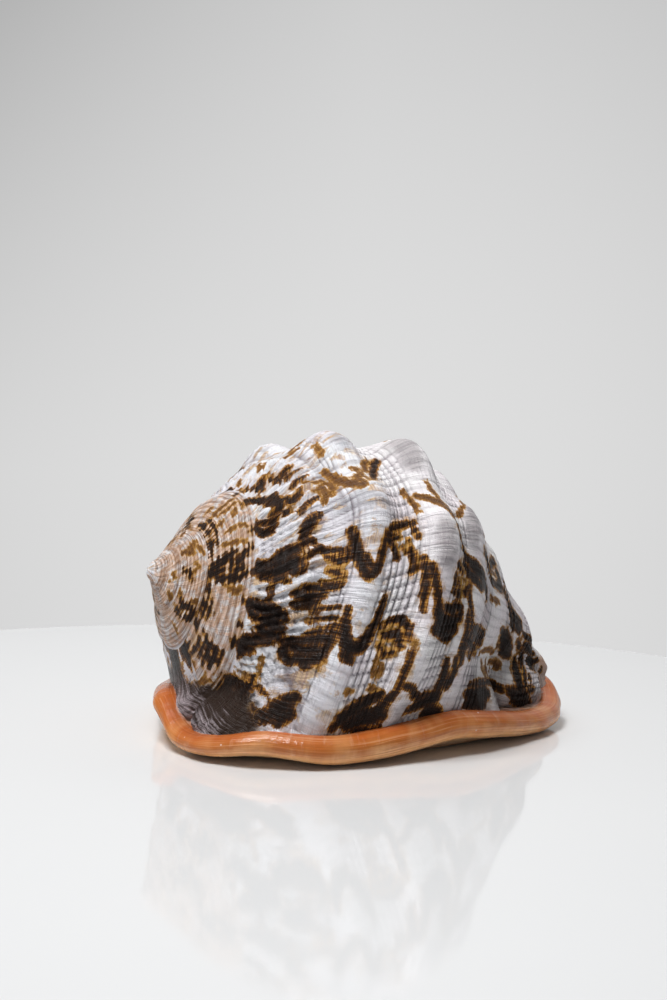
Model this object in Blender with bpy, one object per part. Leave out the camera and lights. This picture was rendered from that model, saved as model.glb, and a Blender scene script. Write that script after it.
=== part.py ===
import bpy
import bmesh
import numpy as np
from math import radians, cos, sin, pi
from mathutils import Vector

for old in list(bpy.data.objects):
    bpy.data.objects.remove(old, do_unlink=True)

# Driving dimensions in millimetres
# The shell rests aperture down on z = 0, apex towards -X, outer lip towards -Y
TILT = radians(16.0)
APEX_HEIGHT = 54.5
LIP_ANGLE = 152.0
TURNS = 5
SUTURE_RADIUS = 38.2
SPIRE_GROWTH = 0.62
SUTURE_OVAL = 0.05
SUTURE_SLOPE = 0.66
BODY_LENGTH = 131.0
CROWN_RADIUS = 31.0
SHOULDER = 22.0
FLOOR_START = 6.0
FLOOR_END = 2.6
FLOOR_BLEND = 3.0
SKIRT_TOP = 0.42
SKIRT_BLEND = 1.5
WHORL_BULGE = 0.10
WALL_BLEND = 15.0
RIB_HEIGHT = 1.1
RIB_WIDTH = 5.2
KNOB_WIDTH = 7.8
KNOB_ANGLE = 12.5
CANAL_BEND = 15.0
FLARE_FOOT = 10.0
FLARE_INSET = 5.5
# Two sweeps out to the rim: top in front, top at the rear, measured height over the foot, half angle, power
FLARES = ((38.0, 24.0, 9.0, 7.0, 1.9), (26.0, 19.0, 3.0, 3.6, 1.3))
MIDDLE = (70.97, 0.32)
SLIVER = 0.05
MM = 0.001

# Outline of the dorsal crest: distance along the axis from the suture, lift over the crown radius
PROFILE_S = (0, 4, 10, 17, 24, 37, 50, 62, 74, 86, 96, 108, 118, 126, 131)
PROFILE_LIFT = (0, 5.5, 12.5, 18, 22, 25.5, 27.5, 23, 15.5, 5.5, -2.5, -12, -18.5, -22, -25)
# Roundness of the last whorl by angle about the axis, 0 on top, 90 on the lip side
ROUND_ANGLE = (-208, -180, -150, -120, -90, -60, -30, 0, 30, 60, 90, 105, 125, 152)
ROUND_FACTOR = (0.8, 0.8, 0.95, 1.08, 0.97, 0.95, 0.97, 1.0, 1.0, 0.97, 0.95, 1.05, 1.30, 1.35)
# Forward sweep of the spiral rows by angle
SWEEP_ANGLE = (-208, -90, 0, 30, 60, 90, 105, 125, 152)
SWEEP = (0, 0, 2, 4.5, 6.5, 3, 0, -6, -8)
# Rows of knobs: distance from the suture, then (angle, height) of every knob
ROWS = (
    (24.0, ((-95, 4.0), (-39, 9.5), (4, 5.2), (44, 5.4), (78, 1.6))),
    (48.5, ((-88, 4.0), (-38, 4.6), (12, 5.4), (51, 4.2), (86, 1.6))),
    (67.0, ((-80, 3.0), (-36, 3.6), (6, 4.4), (38, 4.0), (80, 1.2))),
    (86.0, ((-75, 2.0), (-32, 2.6), (2, 2.4), (27, 2.8), (70, 1.0))),
    (104.0, ()),
)
# Reach of the canal's side down to the rim: distance from the suture, radius
SKIRT_S = (84, 96, 104, 112, 116, 120, 124, 128)
SKIRT_REACH = (30, 36, 35.5, 32, 29, 25.5, 20, 12)

# Rim of the lip and shield: x, y of the outermost edge, height of the roll's middle, half thickness
RIM = (
    (-1, -7, 11.0, 4.6), (-1, -23, 7.2, 4.8), (4, -39, 6.0, 4.6), (17, -51, 6.4, 4.7),
    (38, -60, 6.4, 4.8), (62, -60, 7.0, 4.8), (84, -57.5, 7.2, 4.8), (102, -53, 7.4, 4.6),
    (120, -45, 6.2, 4.5), (134, -35.5, 5.8, 4.5), (141, -26, 7.5, 4.4), (143.5, -15, 11.0, 4.2),
    (141, 0, 12.0, 4.0), (130, 16, 9.0, 4.2), (108, 33, 7.0, 4.6), (80, 46, 6.4, 4.8),
    (52, 51, 6.2, 4.8), (32, 46, 6.4, 4.8), (18, 34, 7.5, 4.6), (9, 19, 9.5, 4.4), (3, 5, 11.5, 4.4),
)
ROLL_OUT = 6.0
PLATE_CENTRE = (62.0, -4.0)
PLATE_TOP = 10.4

# Aperture: x, y of its middle line, half width, height of its roof
SLOT = (
    (11, -14, 2.0, 8), (22, -20, 3.0, 16), (40, -26, 3.8, 26), (62, -29, 4.2, 30),
    (85, -29, 4.0, 24), (105, -27, 3.6, 12), (122, -24, 3.2, 7), (136, -20, 2.8, 6.5), (150, -16, 2.8, 6),
)
TOOTH_PITCH = 4.6
TOOTH_DEPTH = 0.9
LIP_THICKNESS = 8.0
HOLLOW_WIDEN = 3.0
SLOT_STEPS = 64


def smooth_table(x, xs, ys):
    xs = np.asarray(xs, float)
    ys = np.asarray(ys, float)
    x = np.clip(x, xs[0], xs[-1])
    h = np.diff(xs)
    d = np.diff(ys) / h
    m = np.zeros(len(xs))
    m[1:-1] = (d[:-1] * h[1:] + d[1:] * h[:-1]) / (h[:-1] + h[1:])
    m[0] = d[0]
    m[-1] = d[-1]
    i = np.clip(np.searchsorted(xs, x) - 1, 0, len(xs) - 2)
    u = (x - xs[i]) / h[i]
    start = (1 + 2 * u) * (1 - u) ** 2 * ys[i] + u * (1 - u) ** 2 * h[i] * m[i]
    return start + u * u * (3 - 2 * u) * ys[i + 1] + u * u * (u - 1) * h[i] * m[i + 1]


def smoothstep(x, low, high):
    u = np.clip((x - low) / (high - low), 0, 1)
    return u * u * (3 - 2 * u)


def closed_table(u, rows):
    """Smooth closed curve through rows, u from 0 to 1"""
    ring = np.asarray(rows, float)
    n = len(ring)
    padded = np.vstack([ring[-3:], ring, ring[:3]])
    knots = np.arange(-3, n + 3)
    return np.stack([smooth_table(np.asarray(u) * n, knots, padded[:, k]) for k in range(ring.shape[1])], -1)


# Shell of revolution with growth: t is the number of turns before the lip
def suture(t):
    turn = np.radians(LIP_ANGLE + 360 * t)
    oval = SUTURE_OVAL * np.cos(2 * turn) * smoothstep(t, -1.4, -0.7)
    r = SUTURE_RADIUS * np.exp(SPIRE_GROWTH * t) * (1 + oval)
    a = r * (SUTURE_SLOPE + 0.03 * np.clip(-t, 0, 3)) - 1.2
    return a, r


def on_axis(a, rho, angle):
    """Point at distance a along the axis; the canal end of the axis leans to the lip"""
    p = np.radians(angle)
    lean = CANAL_BEND * smoothstep(a, 105, 165)
    x = a * cos(TILT) + rho * np.cos(p) * sin(TILT)
    y = -rho * np.sin(p) - lean
    z = APEX_HEIGHT - a * sin(TILT) + rho * np.cos(p) * cos(TILT)
    return np.stack([x, y, z], -1)


def relief(angle, s):
    """Knobs and broad ribs of the last whorl"""
    out = np.zeros(np.broadcast(angle, s).shape)
    fade = smoothstep(angle, -140, -110) * (1 - smoothstep(angle, 118, 140))
    for middle, knobs in ROWS:
        rib = np.exp(-((s - middle) / RIB_WIDTH) ** 2)
        out = out + RIB_HEIGHT * rib * fade
        for turn, height in knobs:
            bump = np.exp(-np.abs((s - middle) / KNOB_WIDTH) ** 2.4 - np.abs((angle - turn) / KNOB_ANGLE) ** 2.4)
            out = out + height * bump
    return out


def last_whorl(t, s):
    a0, r0 = suture(t)
    angle = LIP_ANGLE + 360 * t
    lift = smooth_table(s, PROFILE_S, PROFILE_LIFT)
    factor = smooth_table(angle, ROUND_ANGLE, ROUND_FACTOR)
    near = smoothstep(s, 0, SHOULDER)
    rho = (r0 + lift) * (1 - near) + (CROWN_RADIUS + lift) * factor * near
    rho = rho + relief(angle, s)
    reach = smooth_table(s, SKIRT_S, SKIRT_REACH) * (SKIRT_TOP + (1 - SKIRT_TOP) * smoothstep(angle, 62, 108))
    side = smoothstep(s, 86, 100) * smoothstep(angle, 50, 82) * (1 - smoothstep(angle, 112, 130))
    rho = rho + SKIRT_BLEND * np.log1p(np.exp((reach - rho) / SKIRT_BLEND)) * side
    sweep = smooth_table(angle, SWEEP_ANGLE, SWEEP) * near * (1 - smoothstep(s, 100, BODY_LENGTH))
    a = a0 + s + sweep
    down = np.cos(np.radians(angle)) * cos(TILT)
    level = APEX_HEIGHT - a * sin(TILT)
    floor = FLOOR_START + (FLOOR_END - FLOOR_START) * smoothstep(t, -0.5, -0.05)
    limit = np.where(down < -0.05, (level - floor) / np.maximum(-down, 0.05), 200.0)
    limit = np.clip(limit, 2.5, 200.0)
    under = smoothstep(-np.cos(np.radians(angle)), 0.12, 0.55) * smoothstep(s, 80, 112)
    rho = np.maximum(rho, (np.minimum(limit, 60.0) + FLOOR_BLEND) * under)
    rho = -FLOOR_BLEND * np.log(np.exp(-rho / FLOOR_BLEND) + np.exp(-limit / FLOOR_BLEND))
    return a, np.maximum(rho, 0.8)


def spire_whorl(t, v):
    a0, r0 = suture(t)
    a1, r1 = suture(t + 1)
    bulge = WHORL_BULGE * (r1 - r0) * np.sin(pi * v ** 1.2)
    return a0 + (a1 - a0) * v - 0.4 * bulge, r0 + (r1 - r0) * v + bulge


def column_turns(spans):
    """Turn fractions of the columns of one whorl, from the lip round to the lip again"""
    stops = []
    for start, end, steps in spans:
        stops.extend(np.linspace(start, end, steps, endpoint=False))
    return (np.array(stops) - LIP_ANGLE) / 360.0 + 1.0


def last_whorl_column(t, v, outer_rows):
    reach = suture(t + 1)[0] - suture(t)[0]
    beyond = np.linspace(0, 1, outer_rows + 1)[1:]
    s = np.concatenate([reach * v, reach + (BODY_LENGTH - reach) * beyond])
    a, r = last_whorl(t, s)
    weight = smoothstep(t, -1.0, -0.8)
    spire_a, spire_r = spire_whorl(t, v)
    last = len(v) - 1
    decay = np.exp(-np.clip(s - reach, 0, None) / WALL_BLEND)
    soft_r = r + (spire_r[-1] - r[last]) * decay
    soft_a = a + (spire_a[-1] - a[last]) * decay
    soft_r[:last + 1] = spire_r
    soft_a[:last + 1] = spire_a
    return on_axis(soft_a * (1 - weight) + a * weight, soft_r * (1 - weight) + r * weight, LIP_ANGLE + 360 * t)


def rim_reach(direction):
    """Distance of the rim from the middle of the plate in a horizontal direction"""
    rim = closed_table(np.linspace(0, 1, 721), RIM)[:, :2] - np.array(PLATE_CENTRE)
    bearing = np.arctan2(rim[:, 1], rim[:, 0])
    order = np.argsort(bearing)
    return np.interp(direction, bearing[order], np.linalg.norm(rim, axis=1)[order], period=2 * pi)


def sweep_out(columns, top_front, top_rear, measured, half_angle, power):
    centre = np.array(PLATE_CENTRE)
    cloud = np.concatenate(columns)
    flat = cloud[:, :2] - centre
    low = (cloud[:, 2] > FLARE_FOOT - measured / 3) & (cloud[:, 2] < FLARE_FOOT + measured)
    bearing = np.arctan2(flat[low, 1], flat[low, 0])
    far = np.linalg.norm(flat[low], axis=1)
    stations = np.linspace(-pi, pi, int(360 / half_angle) + 1)[:-1]
    edge = np.array([np.max(far[np.cos(bearing - b) > cos(radians(half_angle))], initial=0.0) for b in stations])
    found = edge > 20.0
    edge = np.interp(stations, stations[found], edge[found], period=2 * pi)
    edge = (np.roll(edge, 1) + 2 * edge + np.roll(edge, -1)) / 4
    out = []
    for points in columns:
        plan = points[:, :2] - centre
        direction = np.arctan2(plan[:, 1], plan[:, 0])
        stretch = (rim_reach(direction) - FLARE_INSET) / np.interp(direction, stations, edge, period=2 * pi)
        top = top_front + (top_rear - top_front) * smoothstep(-np.cos(direction), 0.6, 0.95)
        drop = np.clip((top - points[:, 2]) / (top - FLARE_FOOT), 0, 1) ** power
        moved = points.copy()
        moved[:, :2] = centre + plan * (1 + (stretch - 1) * drop)[:, None]
        out.append(moved)
    return out


def flare(columns):
    """Sweeps the low part of the whorl out to the rolled rim"""
    for settings in FLARES:
        columns = sweep_out(columns, *settings)
    return columns


def build_whorls(spans, inner_rows, outer_rows):
    """Closed spiral body: spire strips, last whorl and the flat wall under the lip"""
    fractions = column_turns(spans)
    n = len(fractions)
    v = np.linspace(0, 1, inner_rows + 1)
    first_body = (TURNS - 1) * n
    bm = bmesh.new()
    apex = bm.verts.new(Vector(on_axis(np.array(0.0), np.array(0.0), 0.0) * MM))
    turns = [c // n - TURNS + fractions[c % n] for c in range(TURNS * n)] + [0.0]
    columns = [on_axis(*spire_whorl(t, v), LIP_ANGLE + 360 * t) for t in turns[:first_body]]
    columns += [last_whorl_column(t, v, outer_rows) for t in turns[first_body:]]
    columns = flare(columns)
    grid = []
    for c, points in enumerate(columns):
        first = apex if c < n else grid[c - n][inner_rows]
        last = len(points) if c < first_body else len(points) - 1
        grid.append([first] + [bm.verts.new(Vector(p * MM)) for p in points[1:last]])
    tip = bm.verts.new(Vector(np.mean([points[-1] for points in columns[first_body:]], axis=0) * MM))
    for column in grid[first_body:]:
        column.append(tip)
    for c in range(TURNS * n):
        rows = inner_rows if c < first_body else inner_rows + outer_rows
        for j in range(rows):
            corners = [grid[c][j], grid[c][j + 1], grid[c + 1][j + 1], grid[c + 1][j]]
            face = []
            for corner in corners:
                if corner not in face:
                    face.append(corner)
            bm.faces.new(face)
    bm.faces.new(grid[0])
    outer = grid[-1]
    inner = grid[first_body]
    for j in range(inner_rows + 1):
        bm.faces.new((outer[j], outer[j + 1], inner[inner_rows + 1]))
    for j in range(inner_rows + 1, inner_rows + outer_rows - 1):
        bm.faces.new((outer[j], outer[j + 1], inner[j + 1], inner[j]))
    bm.faces.new((outer[-2], tip, inner[-2]))
    bmesh.ops.recalc_face_normals(bm, faces=bm.faces)
    return bm


def build_plate(steps):
    """Rolled lip and shield: a disc with a thick rounded edge that follows the rim"""
    rim = closed_table(np.linspace(0, 1, steps, endpoint=False), RIM)
    centre = np.array(PLATE_CENTRE)
    reach = np.linalg.norm(rim[:, :2] - centre, axis=1)
    away = (rim[:, :2] - centre) / reach[:, None]
    height = rim[:, 2]
    half = rim[:, 3]
    inner = reach - ROLL_OUT
    rings = []
    for turn in range(110, -91, -25):
        rings.append((inner + ROLL_OUT * cos(radians(turn)), height + half * sin(radians(turn))))
    low = height - half
    rings.append((inner - 3.0, low + 0.3))
    rings.append((0.80 * reach - 4.0, np.full(steps, 0.0)))
    rings.append((0.60 * reach - 3.0, np.full(steps, 0.0)))
    rings.append((0.30 * reach, np.full(steps, 0.0)))
    rings.insert(0, (0.70 * reach, np.full(steps, PLATE_TOP)))
    bm = bmesh.new()
    loops = []
    for distance, level in rings:
        flat = centre + away * distance[:, None]
        loops.append([bm.verts.new((flat[k, 0] * MM, flat[k, 1] * MM, level[k] * MM)) for k in range(steps)])
    for upper, lower in zip(loops[:-1], loops[1:]):
        for k in range(steps):
            n = (k + 1) % steps
            bm.faces.new((upper[k], lower[k], lower[n], upper[n]))
    bm.faces.new(loops[0])
    bm.faces.new(loops[-1][::-1])
    bmesh.ops.triangulate(bm, faces=[f for f in bm.faces if len(f.verts) > 4])
    bmesh.ops.recalc_face_normals(bm, faces=bm.faces)
    return bm


def build_slot(steps):
    """Narrow toothed aperture that widens into the hollow above the lips"""
    rows = np.asarray(SLOT, float)
    x = np.linspace(rows[0, 0], rows[-1, 0], steps)
    y = smooth_table(x, rows[:, 0], rows[:, 1])
    half = smooth_table(x, rows[:, 0], rows[:, 2])
    roof = smooth_table(x, rows[:, 0], rows[:, 3])
    between = smoothstep(x, 16, 28) * (1 - smoothstep(x, 122, 134))
    tooth = TOOTH_DEPTH * np.cos(2 * pi * x / TOOTH_PITCH) * between
    wide = HOLLOW_WIDEN * smoothstep(x, 12, 40) * (1 - smoothstep(x, 100, 130))
    bm = bmesh.new()
    loops = []
    for i in range(steps):
        lip = min(LIP_THICKNESS, 0.55 * roof[i])
        mouth = half[i] + tooth[i]
        belly = half[i] + wide[i]
        section = (
            (-mouth, -4.0), (-mouth, lip), (-belly, 0.6 * roof[i] + 0.4 * lip), (-0.5 * belly, roof[i]),
            (0.5 * belly, roof[i]), (belly, 0.6 * roof[i] + 0.4 * lip), (mouth, lip), (mouth, -4.0),
        )
        loops.append([bm.verts.new((x[i] * MM, (y[i] + p) * MM, z * MM)) for p, z in section])
    for near, far in zip(loops[:-1], loops[1:]):
        for k in range(len(near)):
            n = (k + 1) % len(near)
            bm.faces.new((near[k], near[n], far[n], far[k]))
    bm.faces.new(loops[0][::-1])
    bm.faces.new(loops[-1])
    bmesh.ops.recalc_face_normals(bm, faces=bm.faces)
    return bm


def place(name, bm, collection):
    mesh = bpy.data.meshes.new(name)
    bm.to_mesh(mesh)
    bm.free()
    item = bpy.data.objects.new(name, mesh)
    item.location = (-MIDDLE[0] * MM, -MIDDLE[1] * MM, 0.0)
    collection.objects.link(item)
    return item


def settle(item):
    """Applies the joins and cuts, then closes slivers thinner than a twentieth of a millimetre"""
    graph = bpy.context.evaluated_depsgraph_get()
    mesh = bpy.data.meshes.new_from_object(item.evaluated_get(graph))
    item.modifiers.clear()
    bm = bmesh.new()
    bm.from_mesh(mesh)
    for _ in range(3):
        bmesh.ops.remove_doubles(bm, verts=bm.verts, dist=SLIVER * MM)
        bmesh.ops.dissolve_degenerate(bm, dist=0.2 * SLIVER * MM, edges=bm.edges)
        bmesh.ops.triangulate(bm, faces=bm.faces)
        pinched = {f for e in bm.edges if len(e.link_faces) > 2 for f in e.link_faces}
        thin = [f for f in pinched if f.calc_area() < 0.2 * MM * MM]
        bmesh.ops.delete(bm, geom=thin, context="FACES")
        bmesh.ops.holes_fill(bm, edges=[e for e in bm.edges if e.is_boundary], sides=12)
    bmesh.ops.triangulate(bm, faces=bm.faces)
    bmesh.ops.recalc_face_normals(bm, faces=bm.faces)
    bm.to_mesh(mesh)
    bm.free()
    item.data = mesh


def combine(body, operand, operation):
    step = body.modifiers.new(operand.name, "BOOLEAN")
    step.operation = operation
    step.solver = "MANIFOLD"
    step.object = operand


# Columns of one whorl: coarse where the shield hides them, fine over the visible dome
SPANS = ((-208, -118, 8), (-118, 128, 58), (128, 152, 4))
INNER_ROWS = 3
OUTER_ROWS = 31
RIM_STEPS = 90

parts = bpy.data.collections.new("helmet_shell")
cutters = bpy.data.collections.new("helmet_shell_cutters")
bpy.context.scene.collection.children.link(parts)
bpy.context.scene.collection.children.link(cutters)

shell = place("shell", build_whorls(SPANS, INNER_ROWS, OUTER_ROWS), parts)
plate = place("shield", build_plate(RIM_STEPS), cutters)
slot = place("aperture", build_slot(SLOT_STEPS), cutters)
for helper in (plate, slot):
    helper.hide_render = True
    helper.display_type = "WIRE"
combine(shell, plate, "UNION")
combine(shell, slot, "DIFFERENCE")
bpy.context.view_layer.update()
settle(shell)

glaze = bpy.data.materials.new("shell_porcelain")
glaze.use_nodes = True
glaze.diffuse_color = (0.62, 0.50, 0.42, 1.0)
surface = glaze.node_tree.nodes["Principled BSDF"]
surface.inputs["Base Color"].default_value = (0.62, 0.50, 0.42, 1.0)
surface.inputs["Roughness"].default_value = 0.28
surface.inputs["Metallic"].default_value = 0.0
shell.data.materials.append(glaze)
for face in shell.data.polygons:
    face.use_smooth = True
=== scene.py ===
import bpy
import bmesh
import numpy as np
from math import radians, cos, sin, pi
from mathutils import Matrix, Vector
from mathutils.kdtree import KDTree


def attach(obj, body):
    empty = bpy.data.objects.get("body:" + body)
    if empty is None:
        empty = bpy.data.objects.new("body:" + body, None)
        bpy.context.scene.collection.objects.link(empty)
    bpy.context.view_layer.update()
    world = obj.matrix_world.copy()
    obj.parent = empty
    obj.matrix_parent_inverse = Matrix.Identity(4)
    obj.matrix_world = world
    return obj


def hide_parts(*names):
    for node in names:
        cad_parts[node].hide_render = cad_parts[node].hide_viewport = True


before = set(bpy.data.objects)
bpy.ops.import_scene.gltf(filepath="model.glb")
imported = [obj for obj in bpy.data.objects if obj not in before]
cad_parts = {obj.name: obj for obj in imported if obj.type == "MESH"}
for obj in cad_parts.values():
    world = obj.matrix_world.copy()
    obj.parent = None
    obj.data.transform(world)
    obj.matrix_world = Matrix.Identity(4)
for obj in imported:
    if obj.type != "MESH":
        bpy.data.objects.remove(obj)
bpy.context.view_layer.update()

# Driving dimensions in millimetres
# The shell rests aperture down on z = 0, apex towards -X, outer lip towards -Y
TILT = radians(16.0)
APEX_HEIGHT = 54.5
LIP_ANGLE = 152.0
TURNS = 5
SUTURE_RADIUS = 38.2
SPIRE_GROWTH = 0.62
SUTURE_OVAL = 0.05
SUTURE_SLOPE = 0.66
BODY_LENGTH = 131.0
CROWN_RADIUS = 31.0
SHOULDER = 22.0
FLOOR_START = 6.0
FLOOR_END = 2.6
FLOOR_BLEND = 3.0
SKIRT_TOP = 0.42
SKIRT_BLEND = 1.5
WHORL_BULGE = 0.10
WALL_BLEND = 15.0
RIB_HEIGHT = 1.1
RIB_WIDTH = 5.2
KNOB_WIDTH = 7.8
KNOB_ANGLE = 12.5
CANAL_BEND = 15.0
FLARE_FOOT = 10.0
FLARE_INSET = 5.5
# Two sweeps out to the rim: top in front, top at the rear, measured height over the foot, half angle, power
FLARES = ((38.0, 24.0, 9.0, 7.0, 1.9), (26.0, 19.0, 3.0, 3.6, 1.3))
# Place of the frame's origin in these axes, x and y
MIDDLE = (70.97, 0.32)
# A millimetre in metres, and in the growth coordinates
MM = 0.001
UV_SCALE = 0.01

# Outline of the dorsal crest: distance along the axis from the suture, lift over the crown radius
PROFILE_S = (0, 4, 10, 17, 24, 37, 50, 62, 74, 86, 96, 108, 118, 126, 131)
PROFILE_LIFT = (0, 5.5, 12.5, 18, 22, 25.5, 27.5, 23, 15.5, 5.5, -2.5, -12, -18.5, -22, -25)
# Roundness of the last whorl by angle about the axis, 0 on top, 90 on the lip side
ROUND_ANGLE = (-208, -180, -150, -120, -90, -60, -30, 0, 30, 60, 90, 105, 125, 152)
ROUND_FACTOR = (0.8, 0.8, 0.95, 1.08, 0.97, 0.95, 0.97, 1.0, 1.0, 0.97, 0.95, 1.05, 1.30, 1.35)
# Forward sweep of the spiral rows by angle
SWEEP_ANGLE = (-208, -90, 0, 30, 60, 90, 105, 125, 152)
SWEEP = (0, 0, 2, 4.5, 6.5, 3, 0, -6, -8)
# Rows of knobs: distance from the suture, then (angle, height) of every knob
ROWS = (
    (24.0, ((-95, 4.0), (-39, 9.5), (4, 5.2), (44, 5.4), (78, 1.6))),
    (48.5, ((-88, 4.0), (-38, 4.6), (12, 5.4), (51, 4.2), (86, 1.6))),
    (67.0, ((-80, 3.0), (-36, 3.6), (6, 4.4), (38, 4.0), (80, 1.2))),
    (86.0, ((-75, 2.0), (-32, 2.6), (2, 2.4), (27, 2.8), (70, 1.0))),
    (104.0, ()),
)
# Reach of the canal's side down to the rim: distance from the suture, radius
SKIRT_S = (84, 96, 104, 112, 116, 120, 124, 128)
SKIRT_REACH = (30, 36, 35.5, 32, 29, 25.5, 20, 12)

# Rim of the lip and shield: x, y of the outermost edge, height of the roll's middle, half thickness
RIM = (
    (-1, -7, 11.0, 4.6), (-1, -23, 7.2, 4.8), (4, -39, 6.0, 4.6), (17, -51, 6.4, 4.7),
    (38, -60, 6.4, 4.8), (62, -60, 7.0, 4.8), (84, -57.5, 7.2, 4.8), (102, -53, 7.4, 4.6),
    (120, -45, 6.2, 4.5), (134, -35.5, 5.8, 4.5), (141, -26, 7.5, 4.4), (143.5, -15, 11.0, 4.2),
    (141, 0, 12.0, 4.0), (130, 16, 9.0, 4.2), (108, 33, 7.0, 4.6), (80, 46, 6.4, 4.8),
    (52, 51, 6.2, 4.8), (32, 46, 6.4, 4.8), (18, 34, 7.5, 4.6), (9, 19, 9.5, 4.4), (3, 5, 11.5, 4.4),
)
ROLL_OUT = 6.0
PLATE_CENTRE = (62.0, -4.0)
PLATE_TOP = 10.4

# Aperture: x, y of its middle line, half width, height of its roof
SLOT = (
    (11, -14, 2.0, 8), (22, -20, 3.0, 16), (40, -26, 3.8, 26), (62, -29, 4.2, 30),
    (85, -29, 4.0, 24), (105, -27, 3.6, 12), (122, -24, 3.2, 7), (136, -20, 2.8, 6.5), (150, -16, 2.8, 6),
)
TOOTH_PITCH = 4.6
TOOTH_DEPTH = 0.9
LIP_THICKNESS = 8.0
HOLLOW_WIDEN = 3.0


def smooth_table(x, xs, ys):
    xs = np.asarray(xs, float)
    ys = np.asarray(ys, float)
    x = np.clip(x, xs[0], xs[-1])
    h = np.diff(xs)
    d = np.diff(ys) / h
    m = np.zeros(len(xs))
    m[1:-1] = (d[:-1] * h[1:] + d[1:] * h[:-1]) / (h[:-1] + h[1:])
    m[0] = d[0]
    m[-1] = d[-1]
    i = np.clip(np.searchsorted(xs, x) - 1, 0, len(xs) - 2)
    u = (x - xs[i]) / h[i]
    start = (1 + 2 * u) * (1 - u) ** 2 * ys[i] + u * (1 - u) ** 2 * h[i] * m[i]
    return start + u * u * (3 - 2 * u) * ys[i + 1] + u * u * (u - 1) * h[i] * m[i + 1]


def smoothstep(x, low, high):
    u = np.clip((x - low) / (high - low), 0, 1)
    return u * u * (3 - 2 * u)


def closed_table(u, rows):
    """Smooth closed curve through rows, u from 0 to 1"""
    ring = np.asarray(rows, float)
    n = len(ring)
    padded = np.vstack([ring[-3:], ring, ring[:3]])
    knots = np.arange(-3, n + 3)
    return np.stack([smooth_table(np.asarray(u) * n, knots, padded[:, k]) for k in range(ring.shape[1])], -1)


# Shell of revolution with growth: t is the number of turns before the lip
def suture(t):
    turn = np.radians(LIP_ANGLE + 360 * t)
    oval = SUTURE_OVAL * np.cos(2 * turn) * smoothstep(t, -1.4, -0.7)
    r = SUTURE_RADIUS * np.exp(SPIRE_GROWTH * t) * (1 + oval)
    a = r * (SUTURE_SLOPE + 0.03 * np.clip(-t, 0, 3)) - 1.2
    return a, r


def on_axis(a, rho, angle):
    """Point at distance a along the axis; the canal end of the axis leans to the lip"""
    p = np.radians(angle)
    lean = CANAL_BEND * smoothstep(a, 105, 165)
    x = a * cos(TILT) + rho * np.cos(p) * sin(TILT)
    y = -rho * np.sin(p) - lean
    z = APEX_HEIGHT - a * sin(TILT) + rho * np.cos(p) * cos(TILT)
    return np.stack([x, y, z], -1)


def relief(angle, s):
    """Knobs and broad ribs of the last whorl"""
    out = np.zeros(np.broadcast(angle, s).shape)
    fade = smoothstep(angle, -140, -110) * (1 - smoothstep(angle, 118, 140))
    for middle, knobs in ROWS:
        rib = np.exp(-((s - middle) / RIB_WIDTH) ** 2)
        out = out + RIB_HEIGHT * rib * fade
        for turn, height in knobs:
            across = np.abs((s - middle) / KNOB_WIDTH) ** 2.4
            out = out + height * np.exp(-across - np.abs((angle - turn) / KNOB_ANGLE) ** 2.4)
    return out


def last_whorl(t, s):
    a0, r0 = suture(t)
    angle = LIP_ANGLE + 360 * t
    lift = smooth_table(s, PROFILE_S, PROFILE_LIFT)
    factor = smooth_table(angle, ROUND_ANGLE, ROUND_FACTOR)
    near = smoothstep(s, 0, SHOULDER)
    rho = (r0 + lift) * (1 - near) + (CROWN_RADIUS + lift) * factor * near
    rho = rho + relief(angle, s)
    reach = smooth_table(s, SKIRT_S, SKIRT_REACH) * (SKIRT_TOP + (1 - SKIRT_TOP) * smoothstep(angle, 62, 108))
    side = smoothstep(s, 86, 100) * smoothstep(angle, 50, 82) * (1 - smoothstep(angle, 112, 130))
    rho = rho + SKIRT_BLEND * np.log1p(np.exp((reach - rho) / SKIRT_BLEND)) * side
    sweep = smooth_table(angle, SWEEP_ANGLE, SWEEP) * near * (1 - smoothstep(s, 100, BODY_LENGTH))
    a = a0 + s + sweep
    down = np.cos(np.radians(angle)) * cos(TILT)
    level = APEX_HEIGHT - a * sin(TILT)
    floor = FLOOR_START + (FLOOR_END - FLOOR_START) * smoothstep(t, -0.5, -0.05)
    limit = np.where(down < -0.05, (level - floor) / np.maximum(-down, 0.05), 200.0)
    limit = np.clip(limit, 2.5, 200.0)
    under = smoothstep(-np.cos(np.radians(angle)), 0.12, 0.55) * smoothstep(s, 80, 112)
    rho = np.maximum(rho, (np.minimum(limit, 60.0) + FLOOR_BLEND) * under)
    rho = -FLOOR_BLEND * np.log(np.exp(-rho / FLOOR_BLEND) + np.exp(-limit / FLOOR_BLEND))
    return a, np.maximum(rho, 0.8)


def spire_whorl(t, v):
    a0, r0 = suture(t)
    a1, r1 = suture(t + 1)
    bulge = WHORL_BULGE * (r1 - r0) * np.sin(pi * v ** 1.2)
    return a0 + (a1 - a0) * v - 0.4 * bulge, r0 + (r1 - r0) * v + bulge


def column_turns(spans):
    """Turn fractions of the columns of one whorl, from the lip round to the lip again"""
    stops = []
    for start, end, steps in spans:
        stops.extend(np.linspace(start, end, steps, endpoint=False))
    return (np.array(stops) - LIP_ANGLE) / 360.0 + 1.0


def rim_reach(direction):
    """Distance of the rim from the middle of the plate in a horizontal direction"""
    rim = closed_table(np.linspace(0, 1, 721), RIM)[:, :2] - np.array(PLATE_CENTRE)
    bearing = np.arctan2(rim[:, 1], rim[:, 0])
    order = np.argsort(bearing)
    return np.interp(direction, bearing[order], np.linalg.norm(rim, axis=1)[order], period=2 * pi)


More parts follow.
